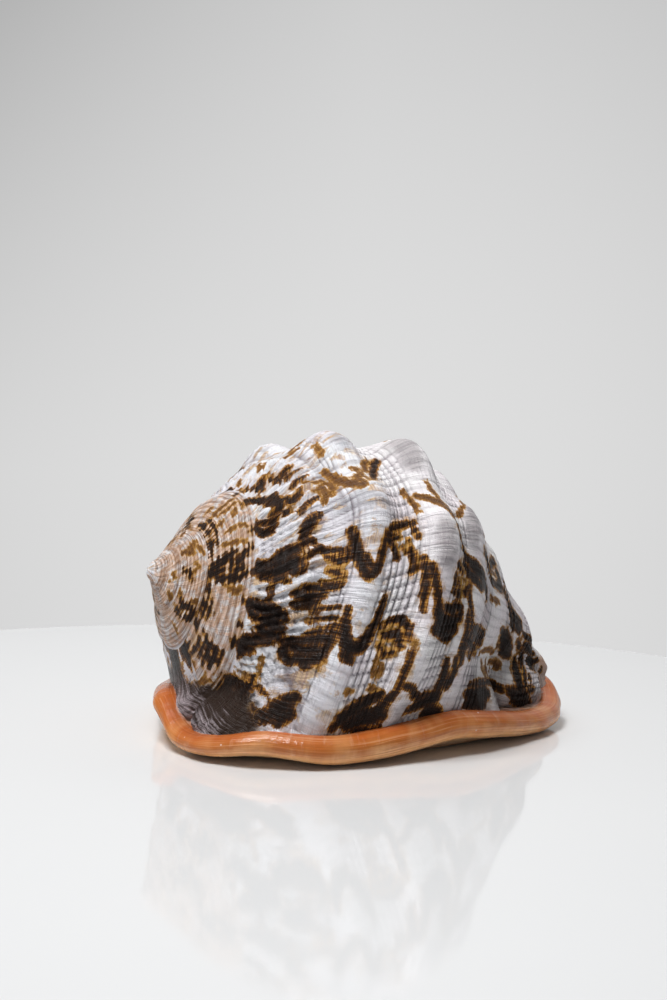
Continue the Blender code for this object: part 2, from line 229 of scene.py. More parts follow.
def sweep_out(columns, top_front, top_rear, measured, half_angle, power):
    centre = np.array(PLATE_CENTRE)
    cloud = np.concatenate(columns)
    flat = cloud[:, :2] - centre
    low = (cloud[:, 2] > FLARE_FOOT - measured / 3) & (cloud[:, 2] < FLARE_FOOT + measured)
    bearing = np.arctan2(flat[low, 1], flat[low, 0])
    far = np.linalg.norm(flat[low], axis=1)
    stations = np.linspace(-pi, pi, int(360 / half_angle) + 1)[:-1]
    within = cos(radians(half_angle))
    edge = np.array([np.max(far[np.cos(bearing - b) > within], initial=0.0) for b in stations])
    found = edge > 20.0
    edge = np.interp(stations, stations[found], edge[found], period=2 * pi)
    edge = (np.roll(edge, 1) + 2 * edge + np.roll(edge, -1)) / 4
    out = []
    for points in columns:
        plan = points[:, :2] - centre
        direction = np.arctan2(plan[:, 1], plan[:, 0])
        stretch = (rim_reach(direction) - FLARE_INSET) / np.interp(direction, stations, edge, period=2 * pi)
        top = top_front + (top_rear - top_front) * smoothstep(-np.cos(direction), 0.6, 0.95)
        drop = np.clip((top - points[:, 2]) / (top - FLARE_FOOT), 0, 1) ** power
        moved = points.copy()
        moved[:, :2] = centre + plan * (1 + (stretch - 1) * drop)[:, None]
        out.append(moved)
    return out


def flare(columns):
    """Sweeps the low part of the whorl out to the rolled rim"""
    for settings in FLARES:
        columns = sweep_out(columns, *settings)
    return columns


# Finer sampling than the solid has, in the same shape
PROFILE_ARC = np.concatenate([[0.0], np.cumsum(np.hypot(np.diff(PROFILE_S), np.diff(PROFILE_LIFT)))])
ARC_END = PROFILE_ARC[-1]
FINE_SPANS = ((-208, -122, 14), (-122, -16, 70), (-16, 119, 214), (119, 132, 10), (132, 152, 5))
FINE_TURN = ((-16 - LIP_ANGLE) / 360, (119 - LIP_ANGLE) / 360)
INNER_ROWS = (5, 9, 16, 34, 20)
OUTER_ROWS = (100, 262)
# Bands of square tiles between the smooth ribs: arc length from the suture, half width, width of a tile
TILE_BANDS = (
    (24.0, 5.4, 1.45), (44.5, 6.8, 2.2), (66.0, 4.6, 1.8), (86.5, 5.0, 1.9), (107.5, 5.5, 1.9),
    (135.0, 14.0, 2.6),
)
TILE_HEIGHT = 3.1
NUB_LENGTH = 1.0
NUB_RADIUS = 3.4
TILE_DEPTH = 0.95
# Lengths of the growth folds, the ripples along them and the ripples across them
FOLD_LENGTH = 3.7
RIPPLE_LENGTH = 1.45
CROSS_LENGTH = 2.7
CANAL_TRIM = 1.7
# Slant of the growth lines: arc length from the suture, millimetres that they run back
SLANT_ARC = (0, 18, 28, 38, 50, 62, 75, 95, 110, 130, 157)
SLANT = (0, 12, 15.5, 16, 21, 22, 24, 25, 28, 30, 34)


def arc_of(s):
    return np.interp(s, PROFILE_S, PROFILE_ARC)


def s_of(arc):
    return np.interp(arc, PROFILE_ARC, PROFILE_S)


def hash_noise(x, y, seed):
    """Smooth value noise in -1 to 1 on a unit lattice"""
    xi = np.floor(x)
    yi = np.floor(y)
    fx = x - xi
    fy = y - yi
    fx = fx * fx * (3 - 2 * fx)
    fy = fy * fy * (3 - 2 * fy)

    def corner(a, b):
        v = np.sin(a * 127.1 + b * 311.7 + seed * 74.7) * 43758.5453
        return 2 * (v - np.floor(v)) - 1

    low = corner(xi, yi) * (1 - fx) + corner(xi + 1, yi) * fx
    high = corner(xi, yi + 1) * (1 - fx) + corner(xi + 1, yi + 1) * fx
    return low * (1 - fy) + high * fy


def fractal(x, y, seed, octaves=3):
    out = 0.0
    for k in range(octaves):
        out = out + hash_noise(x * 2 ** k, y * 2 ** k, seed + k) * 0.5 ** k
    return out


def tile_bands(arc):
    """How far a point is in a tiled band, and its place across the tiles"""
    weight = np.zeros(np.shape(arc))
    place = np.zeros(np.shape(arc))
    for middle, half, width in TILE_BANDS:
        here = 1 - smoothstep(np.abs(arc - middle), half * 0.7, half * 1.25)
        place = np.where(here > weight, (arc - middle) / width, place)
        weight = np.maximum(weight, here)
    return weight, place


def edge(phase):
    """0 in the middle of a rounded tile, 1 in the groove at its edges"""
    return np.abs(2 * (phase % 1.0) - 1)


ROW_ARC = np.linspace(0, ARC_END, 640)
ROW_COUNT = np.concatenate([[0.0], np.cumsum(1.0 + 0.9 * tile_bands((ROW_ARC[1:] + ROW_ARC[:-1]) / 2)[0])])


def rows_between(start, count):
    """Arc lengths of the rows from start to the end, closer together in the tiled bands"""
    low = np.interp(start, ROW_ARC, ROW_COUNT)
    return np.interp(low + (ROW_COUNT[-1] - low) * np.linspace(0, 1, count + 1)[1:], ROW_COUNT, ROW_ARC)


def growth_length(turns):
    """Length of the growth path in millimetres by turn"""
    t = np.linspace(-TURNS, 0.02, 2000)
    radius = suture(t)[1] * 1.35
    path = np.concatenate([[0.0], np.cumsum((radius[1:] + radius[:-1]) / 2 * 2 * pi * np.diff(t))])
    return np.interp(turns, t, path)


def sculpture(path, arc, angle):
    """Tiles, growth wrinkles and lumps in millimetres, and how deep a point is in a groove"""
    visible = smoothstep(angle, -150, -125) * (1 - smoothstep(angle, 124, 140))
    ends = smoothstep(arc, 0.5, 4) * (1 - smoothstep(arc, ARC_END - 10, ARC_END - 2))
    band, place = tile_bands(arc)
    growth = path + np.interp(arc, SLANT_ARC, SLANT)
    step = growth / TILE_HEIGHT + 0.7 * hash_noise(growth / 7.0, arc / 24.0, 11)
    line = edge(step) ** 5
    cord = edge(place + 0.35 * hash_noise(arc / 5.0, growth / 40.0, 17)) ** 3.5
    slope = 1 - smoothstep(arc, 17, 22)
    fold = np.cos(2 * pi * (growth / FOLD_LENGTH + 0.8 * hash_noise(growth / 9, arc / 9, 3)))
    wrinkle = (fold + 0.25 * fold ** 2) * (0.55 + 0.25 * hash_noise(growth / 7, arc / 5, 13)) * slope
    ripple = np.cos(2 * pi * growth / RIPPLE_LENGTH + 3 * hash_noise(growth / 4, arc / 4, 15)) * 0.13
    crossing = np.cos(2 * pi * arc / CROSS_LENGTH + 2 * hash_noise(growth / 6, arc / 6, 9)) * 0.22
    wrinkle = wrinkle + ripple * slope + crossing * slope
    lump = fractal(path / 13, arc / 10, 5) * 0.28
    tiles = -TILE_DEPTH * (0.8 * line + cord - 0.5 * line * cord) * band
    ledge = ((step * 0.5) % 1.0 - 0.5) * 0.24 * (1 - band) * (1 - slope)
    ribs = -0.12 * line * (1 - band) * (1 - slope)
    deep = np.maximum(np.maximum(line, cord) * band, line * 0.45 * (1 - band) * (1 - slope))
    dent = (0.5 - 0.5 * np.clip(wrinkle / 0.6, -1, 1)) ** 2 * slope
    wrinkle = wrinkle * 1.5
    height = (wrinkle + lump + tiles + ledge + ribs - 0.42) * ends * visible
    return height, np.maximum(deep, 0.6 * dent) * ends, growth, band


def fine_spire(t, v):
    """One column of a spire whorl with its beaded spiral cords"""
    a, r = spire_whorl(t, v)
    a0, r0 = suture(t)
    a1, r1 = suture(t + 1)
    width = np.hypot(a1 - a0, r1 - r0)
    path = growth_length(t)
    growth = path + 0.5 * v * width
    bead_row = np.exp(-((v - 0.78) / 0.12) ** 2) * 0.035 * width
    crest = bead_row * (1 + 0.8 * np.cos(2 * pi * path / (0.42 * width + 1.5)))
    cord = 0.5 - 0.5 * np.cos(2 * pi * (v * 8.0 + 0.3 * hash_noise(growth / 9, v * 4, 23)))
    uneven = 1.5 * hash_noise(growth / 5, v * 6, 21)
    bead = 0.5 + 0.5 * np.cos(2 * pi * growth / (0.10 * width + 0.9) + uneven)
    lift = 0.018 * width * cord * (0.5 + 0.9 * bead)
    raised = (crest + lift) * np.sin(pi * np.clip(v, 0, 1)) ** 0.5
    whorl = int(np.floor(-t + 1e-6))
    a = a - NUB_LENGTH * np.exp(-(r / NUB_RADIUS) ** 4)
    raised = raised * smoothstep(r, 2.5, 6.0)
    span = (20.0, 20.0, 12.0, 7.0, 4.0, 4.0)[whorl]
    angle = LIP_ANGLE + 360 * t
    same = np.ones(len(v))
    return {
        "points": on_axis(a, r + raised, angle), "a": a, "r": r + raised, "at": v,
        "growth": growth, "arc": v * span, "groove": (1 - cord) * 0.6 + (1 - bead) * 0.3, "band": same * 2,
        "radius": r, "angle": same * (angle + 360 * whorl), "whorl": same * whorl,
    }


def fine_column(t, v):
    """One column of the last whorl"""
    reach = suture(t + 1)[0] - suture(t)[0]
    start = arc_of(reach)
    fine = FINE_TURN[0] <= t <= FINE_TURN[1]
    outer = rows_between(start, OUTER_ROWS[fine])
    arc = np.concatenate([start * v, outer])
    s = s_of(arc)
    a, r = last_whorl(t, s)
    angle = LIP_ANGLE + 360 * t
    weight = smoothstep(t, -1.0, -0.8)
    height, deep, growth, band = sculpture(growth_length(t), arc, angle)
    plain = r
    trim = smoothstep(arc, 130, 143) * smoothstep(angle, -130, -90) * (1 - smoothstep(angle, 85, 100))
    r = r + height - CANAL_TRIM * trim
    spire = fine_spire(t, v)
    last = len(v) - 1
    decay = np.exp(-np.clip(s - reach, 0, None) / WALL_BLEND)
    soft_r = r + (spire["r"][-1] - r[last]) * decay
    soft_a = a + (spire["a"][-1] - a[last]) * decay
    soft_r[:last + 1] = spire["r"]
    soft_a[:last + 1] = spire["a"]
    return {
        "points": on_axis(soft_a * (1 - weight) + a * weight, soft_r * (1 - weight) + r * weight, angle),
        "at": np.concatenate([v, 1 + (outer - start) / (ARC_END - start)]),
        "growth": growth, "arc": arc, "groove": deep, "band": band, "radius": plain,
        "angle": np.full(len(arc), angle), "whorl": np.zeros(len(arc)),
    }


def strip(near, far, near_row, far_row):
    """Faces between two columns of vertices, which may have unlike counts, with their corners' places"""
    i = 0
    j = 0
    even = len(near) == len(far)
    while i < len(near) - 1 or j < len(far) - 1:
        if even:
            corners = ((0, i), (0, i + 1), (1, j + 1), (1, j))
            i += 1
            j += 1
        elif j == len(far) - 1 or (i < len(near) - 1 and near_row["at"][i + 1] <= far_row["at"][j + 1]):
            corners = ((0, i), (0, i + 1), (1, j))
            i += 1
        else:
            corners = ((0, i), (1, j + 1), (1, j))
            j += 1
        face = []
        place = []
        for side, k in corners:
            vertex = (near, far)[side][k]
            if vertex not in face:
                face.append(vertex)
                row = (near_row, far_row)[side]
                place.append((row["growth"][k] * UV_SCALE, row["arc"][k] * UV_SCALE))
        if len(face) > 2:
            yield face, place


def build_fine_whorls():
    fractions = column_turns(FINE_SPANS)
    n = len(fractions)
    first_body = (TURNS - 1) * n
    turns = [c // n - TURNS + fractions[c % n] for c in range(TURNS * n)] + [0.0]
    rows = []
    for c, t in enumerate(turns):
        k = min(c // n, TURNS - 1)
        v = np.linspace(0, 1, INNER_ROWS[k] + 1)
        rows.append(fine_spire(t, v) if c < first_body else fine_column(t, v))
    columns = flare([row["points"] for row in rows])
    tip = np.mean([p[-1] for p in columns[first_body:]], axis=0)
    points = [on_axis(np.array(-NUB_LENGTH - 0.5), np.array(0.0), 0.0)[None, :]]
    names = ("growth", "arc", "groove", "band", "radius", "angle", "whorl")
    values = {name: [[0.0]] for name in names}
    values["whorl"] = [[float(TURNS)]]
    grid = []
    start = 1
    for c, p in enumerate(columns):
        first = 0 if c < n else grid[c - n][INNER_ROWS[c // n - 1]]
        last = len(p) if c < first_body else len(p) - 1
        points.append(p[1:last])
        for name in names:
            values[name].append(rows[c][name][1:last])
        grid.append([first] + list(range(start, start + last - 1)))
        start += last - 1
    end = start
    points.append(tip[None, :])
    for name in names:
        values[name].append(rows[-1][name][-1:])
    for column in grid[first_body:]:
        column.append(end)
    faces = []
    uvs = []
    for c in range(TURNS * n):
        near, far = grid[c], grid[c + 1]
        if c == first_body - 1:
            far = far[:INNER_ROWS[-1] + 1]
        for face, place in strip(near, far, rows[c], rows[c + 1]):
            faces.append(face)
            uvs.extend(place)
    outer, inner = grid[-1], grid[first_body]
    cut = INNER_ROWS[-1]
    wall = [[outer[j], outer[j + 1], inner[cut + 1]] for j in range(cut + 1)]
    for j in range(cut + 1, cut + OUTER_ROWS[0] - 1):
        wall.append([outer[j], outer[j + 1], inner[j + 1], inner[j]])
    wall.append([outer[-2], end, inner[-2]])
    wall.append(list(grid[0]))
    for face in wall:
        faces.append(face)
        uvs.extend([(0.0, 0.0)] * len(face))
    return np.concatenate(points), faces, uvs, {name: np.concatenate(parts) for name, parts in values.items()}


# Dark blotches of the last whorl: strokes of (arc from the suture in mm, angle in degrees, half width in mm)
DARK = (
    ((1, -9, 1.2), (1, -4, 1.2)),
    ((3.2, 10, 0.7), (5.5, 17, 1.1), (6.2, 21, 0.6)),
    ((6.2, 18, 1.0), (8, 12, 1.3), (9, 10, 0.8)),
    ((9.8, 13, 0.6), (11, 18, 0.9), (11.5, 21, 0.5)),
    ((12.5, 18, 0.8), (15, 14, 0.9), (18, 11, 0.6)),
    ((14, 20, 0.6), (17, 17, 0.7), (19.5, 15, 0.5)),
    ((14.5, 27, 0.6), (17, 23, 0.8), (20, 21, 0.5)),
    ((0.3, 21.5, 1.2), (2.5, 25, 1.5), (5, 29, 1.4), (8.5, 29, 1.2), (8.5, 33, 1.6), (8.8, 38, 1.4)),
    ((5.5, 31, 1.0), (7.5, 36, 1.0)),
    ((10.5, 34, 0.9), (13, 36, 1.0), (15.5, 33, 0.9), (16, 30, 0.6)),
    ((9, 40, 0.8), (11, 42, 0.8)),
    ((0.3, 40.5, 0.9), (0.6, 46, 1.3), (2.5, 50, 1.3), (5, 51, 1.3), (6.3, 47, 1.2), (7.3, 42, 1.0),
     (6.8, 39, 0.6)),
    ((1, 43, 0.8), (4.5, 44, 0.9)),
    ((14, 43, 0.6), (18, 38, 0.7), (20, 36, 0.5)),
    ((18.7, 45, 1.2), (16.5, 49, 1.5), (15, 54, 1.3), (14.2, 59, 0.8)),
    ((15.5, 58, 0.9), (17.5, 57.5, 0.7)),
    ((0.5, 68, 1.3), (3, 70, 1.8), (6.5, 69, 1.8), (9.5, 64, 2.2), (13, 61, 1.5), (14, 58.5, 0.6)),
    ((1, 72, 1.8), (5, 73, 1.6), (9, 71, 2.4), (12.5, 67, 2.0), (13.5, 72, 1.0)),
    ((3, 75.5, 0.6), (6.5, 76.5, 0.7), (10, 75.5, 1.0), (12, 76, 0.6)),
    ((7.2, 77, 0.6), (7.4, 83, 0.6), (7.6, 89, 0.8)),
    ((19.5, 60, 0.8), (17, 63, 0.6), (15.3, 66, 0.5), (16, 71, 0.4)),
    ((20.5, 61.5, 0.8), (24, 61, 1.0), (27.5, 60.5, 0.9)),
    ((21.5, 64, 1.0), (24.5, 65, 1.9), (26.5, 63, 1.2)),
    ((22.5, 69, 1.2), (25, 70, 1.8)),
    ((24, 75, 1.6), (25.5, 73, 1.3)),
    ((21, 74, 0.6), (22.5, 75, 0.8)),
    ((17, 77.5, 1.0), (20, 76.5, 0.9), (22.5, 77.5, 0.9)),
    ((15.5, 81, 1.6), (19.5, 80.5, 1.6), (22.5, 79.5, 0.9)),
    ((15.8, 85.5, 1.4), (19.5, 84, 1.2), (21.5, 82.5, 0.7)),
    ((21, 87, 0.3), (24, 84, 0.4), (27.5, 82, 0.3)),
    ((20.5, 91, 0.35), (24, 88.5, 0.4), (28.5, 86, 0.35)),
    ((21.5, 95, 0.4), (25, 92, 0.45), (29, 89, 0.4)),
    ((16, 100, 1.0), (20, 98.5, 1.2), (24, 96, 1.2), (28, 94, 1.2)),
    ((15.5, 99, 0.6), (16.5, 105, 1.9), (19, 106.5, 1.2), (21, 104, 1.2), (24, 105, 1.6), (27, 101, 1.6),
     (28.6, 96, 1.2), (29.3, 91, 0.8)),
    ((18, 101, 1.5), (22, 101, 1.5), (26, 99, 1.5)),
    ((0.5, 90, 1.5), (4, 91, 2.2), (8.5, 91, 2.4), (12.5, 91, 1.8), (14.3, 92.5, 0.8)),
    ((0.5, 94, 1.6), (3.5, 95.5, 1.8)),
    ((6, 96, 1.4), (10, 95.5, 2.8), (13.5, 96, 1.2)),
    ((5.5, 100, 0.8), (8.5, 101, 2.2), (12.5, 100, 1.6)),
    ((5, 105, 1.2), (8.5, 104.5, 1.6), (11.5, 103, 0.9)),
    ((0.5, 112, 2.6), (3.5, 108.5, 2.0), (6.5, 107, 1.2)),
    ((0, 117, 2.0), (2.5, 113, 1.8), (6, 110.5, 0.9)),
    ((10.2, 119, 0.6), (9.8, 124, 1.4), (8.5, 128, 2.2), (8.5, 134, 2.6), (8, 142, 2.6)),
    ((5.5, 129, 1.6), (2, 132, 2.2), (1, 140, 3.0), (5, 138, 3.0)),
    ((14, 127, 0.4), (18.5, 125, 0.6)),
    ((14, 130, 0.4), (18, 128.5, 0.5)),
    ((14.5, 133, 0.4), (17, 131.5, 0.5)),
    ((13, 121, 0.5), (16, 120, 0.6)),
    ((25.3, 114.5, 1.0), (23, 117.5, 1.8), (21, 121, 2.2), (19, 125, 1.6), (17.5, 128, 0.8)),
    ((25.5, 119, 1.2), (22.5, 123, 2.0)),
    ((26.5, 53, 0.8), (27.5, 57, 1.2), (29, 62, 1.3), (31, 67, 1.4), (33, 70, 1.3), (35, 67.5, 1.3),
     (36, 63, 1.1), (36.3, 58, 1.0), (37, 54, 0.9)),
    ((31.5, 62.5, 0.7), (33.2, 66, 1.1)),
    ((38.3, 52.5, 1.0), (41, 51, 1.3), (43, 49.5, 1.2), (46, 48, 0.9), (48, 47.5, 0.6)),
    ((38, 56, 0.9), (40.5, 57.5, 1.2), (42, 61, 1.0)),
    ((39, 54.5, 1.2), (42, 54, 1.0)),
    ((45.5, 54, 0.7), (46.5, 58, 1.0), (47.8, 62, 1.1), (47.5, 65, 0.7)),
    ((47.8, 50, 0.6), (48.5, 53, 0.5)),
    ((44, 57, 0.7), (45, 58.5, 0.6)),
    ((50, 60, 0.8), (51.5, 64, 1.0), (52.3, 69, 1.1), (53, 74, 0.9), (53.7, 77, 0.5)),
    ((52.5, 62, 0.8), (54.5, 66, 1.1), (57, 71, 1.2), (58.5, 75, 1.4)),
    ((58.5, 76, 1.8), (61, 79, 2.8), (66, 79, 3.0), (69.5, 76, 1.5)),
    ((59.5, 82, 1.6), (63, 82, 2.2), (67, 83, 2.0), (69, 80, 1.5)),
    ((66, 71.5, 1.3), (68.5, 72, 1.5), (70.3, 75, 0.8)),
    ((62, 73.8, 1.2), (66, 74, 1.4)),
    ((63, 60, 1.0), (66, 60.5, 1.1)),
    ((65, 64, 1.1), (66.5, 68, 1.4)),
    ((69.5, 66, 1.4), (71, 63, 1.1)),
    ((62.3, 63, 0.7), (64, 68, 0.9)),
    ((67, 57, 1.2), (70, 60, 1.0)),
    ((64.5, 52, 0.8), (68, 54, 1.5), (73, 55, 2.3), (78.5, 57, 2.7), (82, 60, 1.9), (83.3, 63.5, 0.9)),
    ((68, 57.5, 1.5), (73, 59.5, 2.0), (78, 61.5, 1.6)),
    ((71, 64, 0.8), (73, 69, 0.8), (75, 73, 0.8), (77, 78, 0.9), (78.5, 84, 0.9)),
    ((73, 72, 0.5), (74.5, 77, 1.0), (76, 82, 1.1), (77, 87, 1.2), (77.5, 91, 0.9)),
    ((75, 81, 0.8), (75.5, 87, 1.0)),
    ((70.5, 91, 1.1), (72, 96, 1.5), (71.5, 100, 1.4)),
    ((74.5, 90, 0.9), (76, 94.5, 1.3), (74.5, 99, 1.7)),
    ((72, 103, 2.2), (69, 104.5, 2.2), (65, 106.5, 1.5), (62.8, 108, 0.8)),
    ((72, 107.5, 2.4), (76, 107.5, 1.6), (78.5, 109, 0.8)),
    ((56.5, 101, 0.9), (59.5, 101, 1.0), (62, 103, 1.2), (65, 104, 1.0), (67.5, 102.5, 0.7)),
    ((54.2, 91, 0.7), (54.3, 97, 0.9), (54.5, 103, 1.0), (53, 107, 1.4), (51.5, 110, 1.5)),
    ((50.5, 105, 0.9), (47.5, 108, 1.5), (44, 111, 2.0), (41, 114.5, 2.0), (39, 117, 1.2)),
    ((54, 110, 1.6), (49, 112, 2.4), (44, 115, 2.2)),
    ((55, 114, 1.6), (49, 117, 2.4)),
    ((30, 82, 0.7), (30.8, 87, 1.2), (32, 91.5, 1.8), (34.5, 95, 2.5), (37.5, 94, 2.3), (39.5, 90, 1.8),
     (40.6, 84, 1.2), (40.7, 78, 0.9), (40.7, 75.5, 0.6)),
    ((34, 98, 1.6), (36.5, 98.5, 1.2)),
    ((43, 86, 0.9), (45.5, 83, 1.3), (48.5, 81.5, 1.3), (51, 83, 1.2), (51.8, 87, 0.9)),
    ((45, 88, 1.5), (49, 86.5, 1.8), (50.5, 90, 1.2)),
    ((44.3, 91.5, 1.0), (46.5, 94, 1.1), (49, 92.5, 1.1)),
    ((79.8, 46.5, 0.8), (82.5, 47.5, 1.2), (86, 49.5, 1.3), (90, 51, 1.3), (95, 50.5, 1.4),
     (98.5, 48.5, 2.2)),
    ((90.5, 43.5, 1.0), (94, 40, 1.5), (97, 36.5, 1.3)),
    ((98, 41, 1.4), (99.5, 45, 1.6), (102, 47.5, 0.8)),
    ((79.5, 77, 1.2), (84, 76.5, 1.3), (89, 76.5, 1.0)),
    ((80.5, 80.5, 1.4), (85, 81, 1.6), (89.5, 81, 1.3)),
    ((81, 84, 1.0), (85, 84, 0.8)),
    ((80.2, 86.5, 0.8), (82, 88, 0.8)),
    ((83, 85.5, 0.8), (82.5, 88.5, 0.6)),
    ((79, 78, 1.8), (84, 79, 2.3), (88.3, 79, 1.6)),
    ((77.8, 82.5, 1.2), (82, 84, 1.4), (86, 84, 0.8)),
    ((101.5, 71, 1.3), (106, 73, 2.4), (111, 76, 3.0), (116, 79, 1.8), (118.7, 80.5, 0.6)),
    ((106, 68.8, 1.2), (112, 72, 1.6), (116, 75.5, 1.2)),
    ((104.6, 44.5, 0.8), (106, 50, 1.6), (107, 55, 2.0), (109, 60, 1.8), (111.5, 63, 1.0)),
    ((109.5, 48, 0.9), (112, 53, 2.2), (113.5, 58, 2.4), (116, 61, 1.2)),
    ((114, 50, 0.8), (116.5, 54, 1.6), (117, 58, 1.0)),
    ((106.5, 40, 0.5), (108.5, 44, 0.8)),
    ((119.5, 60, 0.6), (122.5, 60, 0.9), (126, 57.5, 0.9), (129, 55.5, 0.9), (132, 52.5, 0.8),
     (135.5, 47, 0.7),
     (139, 40.5, 0.5)),
    ((122.5, 66.5, 0.8), (125.5, 65.5, 1.6), (129, 63.5, 1.6), (132, 62.5, 1.2), (135, 60.5, 0.8),
     (138, 54.5, 0.8),
     (141, 47.5, 0.8), (143.5, 41, 0.6)),
    ((133.5, 73, 1.4), (137, 72, 2.7), (140, 69.5, 2.8), (142.5, 64, 1.4), (144.5, 58, 1.0), (146, 52, 0.8),
     (147.3, 45, 0.6)),
    ((134.5, 79, 1.3), (138, 78, 1.4), (141.5, 76, 0.9)),
    ((118, 67, 0.6), (120.5, 70.5, 0.9)),
    ((123.2, 72, 0.6), (125.5, 75, 1.5), (127.5, 79, 1.4), (127, 84, 1.0)),
    ((122, 80, 0.8), (123, 85, 1.6), (124.5, 91, 2.4), (126, 97, 2.8)),
    ((129, 84.5, 0.8), (129.3, 90, 1.0), (129.8, 95, 1.4)),
    ((118.8, 100.5, 1.2), (123, 102, 2.8), (130, 103, 3.0), (136.5, 105, 2.2), (141.5, 107, 1.0)),
    ((132.6, 89, 0.6), (134, 91, 0.5)),
    ((132, 96.3, 0.6), (135, 97.2, 1.0), (139, 97, 0.5)),
    ((151.3, 58, 0.7), (151.5, 65, 1.3), (151, 72, 0.9)),
    ((146.5, 88, 0.4), (147.5, 94, 0.6), (148.5, 101, 0.6), (152, 104, 0.5)),
    ((98.5, 98.3, 0.8), (104, 99.5, 1.1), (110, 100.5, 1.4), (116, 101, 1.1)),
    ((86.5, 102, 1.3), (90, 103, 2.8), (94.5, 103.5, 2.6), (97.3, 103, 1.0)),
    ((87, 99, 0.8), (92, 98.6, 1.0), (98, 98.3, 0.8)),
    ((88, 106, 1.5), (94, 107, 1.8)),
    ((45.5, 16, 0.9), (42.5, 20, 1.1), (40, 25, 1.0), (37.5, 30, 0.8), (36, 33, 0.5)),
    ((58.5, 42, 0.5), (60.5, 44.5, 0.8), (62.2, 48, 0.9)),
)
GOLD = (
    ((0.3, 2, 0.9), (0.6, 6, 1.2), (1.5, 10, 0.9)),
    ((6.5, -8, 0.5), (4.5, -3, 0.5)),
    ((12, 0, 0.6), (14, -5, 0.7), (15, -9, 0.6)),
    ((18.5, -9, 0.6), (16, -6, 0.6)),
    ((10.8, 8, 0.7), (11.5, 13, 0.6)),
    ((10.5, 31, 0.7), (12, 36, 0.9), (12, 42, 0.7)),
    ((20, 32, 0.5), (22, 31, 0.8), (21.5, 36, 0.8), (21, 40, 0.5)),
    ((24.3, 29, 0.7), (24.2, 33, 0.9), (23.5, 37, 0.4)),
    ((25.5, 21, 0.7), (26.3, 26, 1.1), (27.5, 30, 1.6), (29, 34, 1.8), (31, 36.5, 1.2), (31.7, 33, 1.0),
     (32.2, 29, 0.6)),
    ((33.3, 24, 0.6), (33.5, 29, 0.7), (34.3, 34, 0.6)),
    ((19, 25, 0.4), (21, 27, 0.6), (23.5, 27, 0.5)),
    ((36, 27, 0.8), (38.5, 21, 0.9), (41, 17, 0.6)),
    ((47.5, 34, 0.5), (48.8, 38, 0.7), (50, 43, 0.5)),
    ((51, 36.5, 0.8), (54, 38, 1.5), (57, 39.5, 1.8), (59.5, 43, 1.6), (62, 47, 1.4), (64, 52, 0.9)),
    ((56.3, 30, 0.5), (56.8, 35, 0.7), (57.5, 38, 0.6)),
    ((57.5, 38.5, 0.5), (61, 40, 0.5), (65, 41, 0.45), (69, 37, 0.45), (73, 31, 0.5), (77, 23, 0.6),
     (82, 16, 0.8),
     (86, 12, 0.8)),
    ((54, 3, 0.5), (57, 1.5, 0.6), (59.5, 2, 0.5)),
    ((23.5, -3, 0.5), (28, -5, 0.7), (31.5, -7.5, 0.6)),
    ((20, 0, 0.6), (24, 0, 0.6)),
    ((45, 95, 0.4), (45.5, 101, 0.4)),
    ((47.3, 97, 0.5), (47.3, 102, 0.5)),
    ((46, 105, 0.6), (49, 104.5, 0.5)),
    ((41, 107, 0.5), (39, 108, 0.4)),
    ((88, 60, 0.6), (92, 60, 0.8), (96.5, 58.5, 0.6)),
    ((81.5, 39, 0.5), (82, 42.5, 0.6)),
    ((82, 87, 0.8), (84.5, 86, 0.9), (87, 86.5, 0.6)),
    ((91, 85, 0.4), (95, 83, 0.7), (99, 82, 0.8), (103, 82.5, 0.4)),
    ((94, 89, 0.4), (95.5, 92.5, 0.6), (98, 97, 0.6)),
    ((99, 88, 0.4), (100, 93, 0.8), (100.5, 97, 0.6)),
    ((103.5, 88.5, 0.5), (107.5, 87.5, 0.7), (111.5, 88, 1.5), (114, 89, 1.4)),
    ((106, 91.5, 0.6), (108, 93.5, 0.6), (107, 97, 0.5)),
    ((101.8, 73, 1.0), (104, 78, 0.6)),
    ((121, 69.5, 1.0), (123, 71, 0.7)),
    ((119, 65, 0.7), (117, 68, 0.6)),
    ((144, 78, 0.8), (142, 80, 0.8)),
    ((69, 62.5, 0.7), (70.5, 66, 0.9)),
    ((64, 58.5, 0.5), (66.5, 61.5, 0.6)),
    ((10.2, 111, 0.5), (10.7, 118, 0.5)),
    ((8, 121, 0.6), (6, 125, 0.7), (3, 127, 0.5)),
    ((27.5, 104, 0.5), (29, 101, 0.4)),
    ((54.5, 88, 0.6), (54.2, 92, 0.5)),
    ((27, 6, 0.15), (26.8, 13, 0.15)),
    ((86, 47.8, 0.5), (91, 46.3, 0.8), (95.5, 44.5, 0.6)),
    ((122, 72, 0.9), (121, 77, 0.5), (120.8, 83, 0.4), (120.5, 90, 0.4)),
)
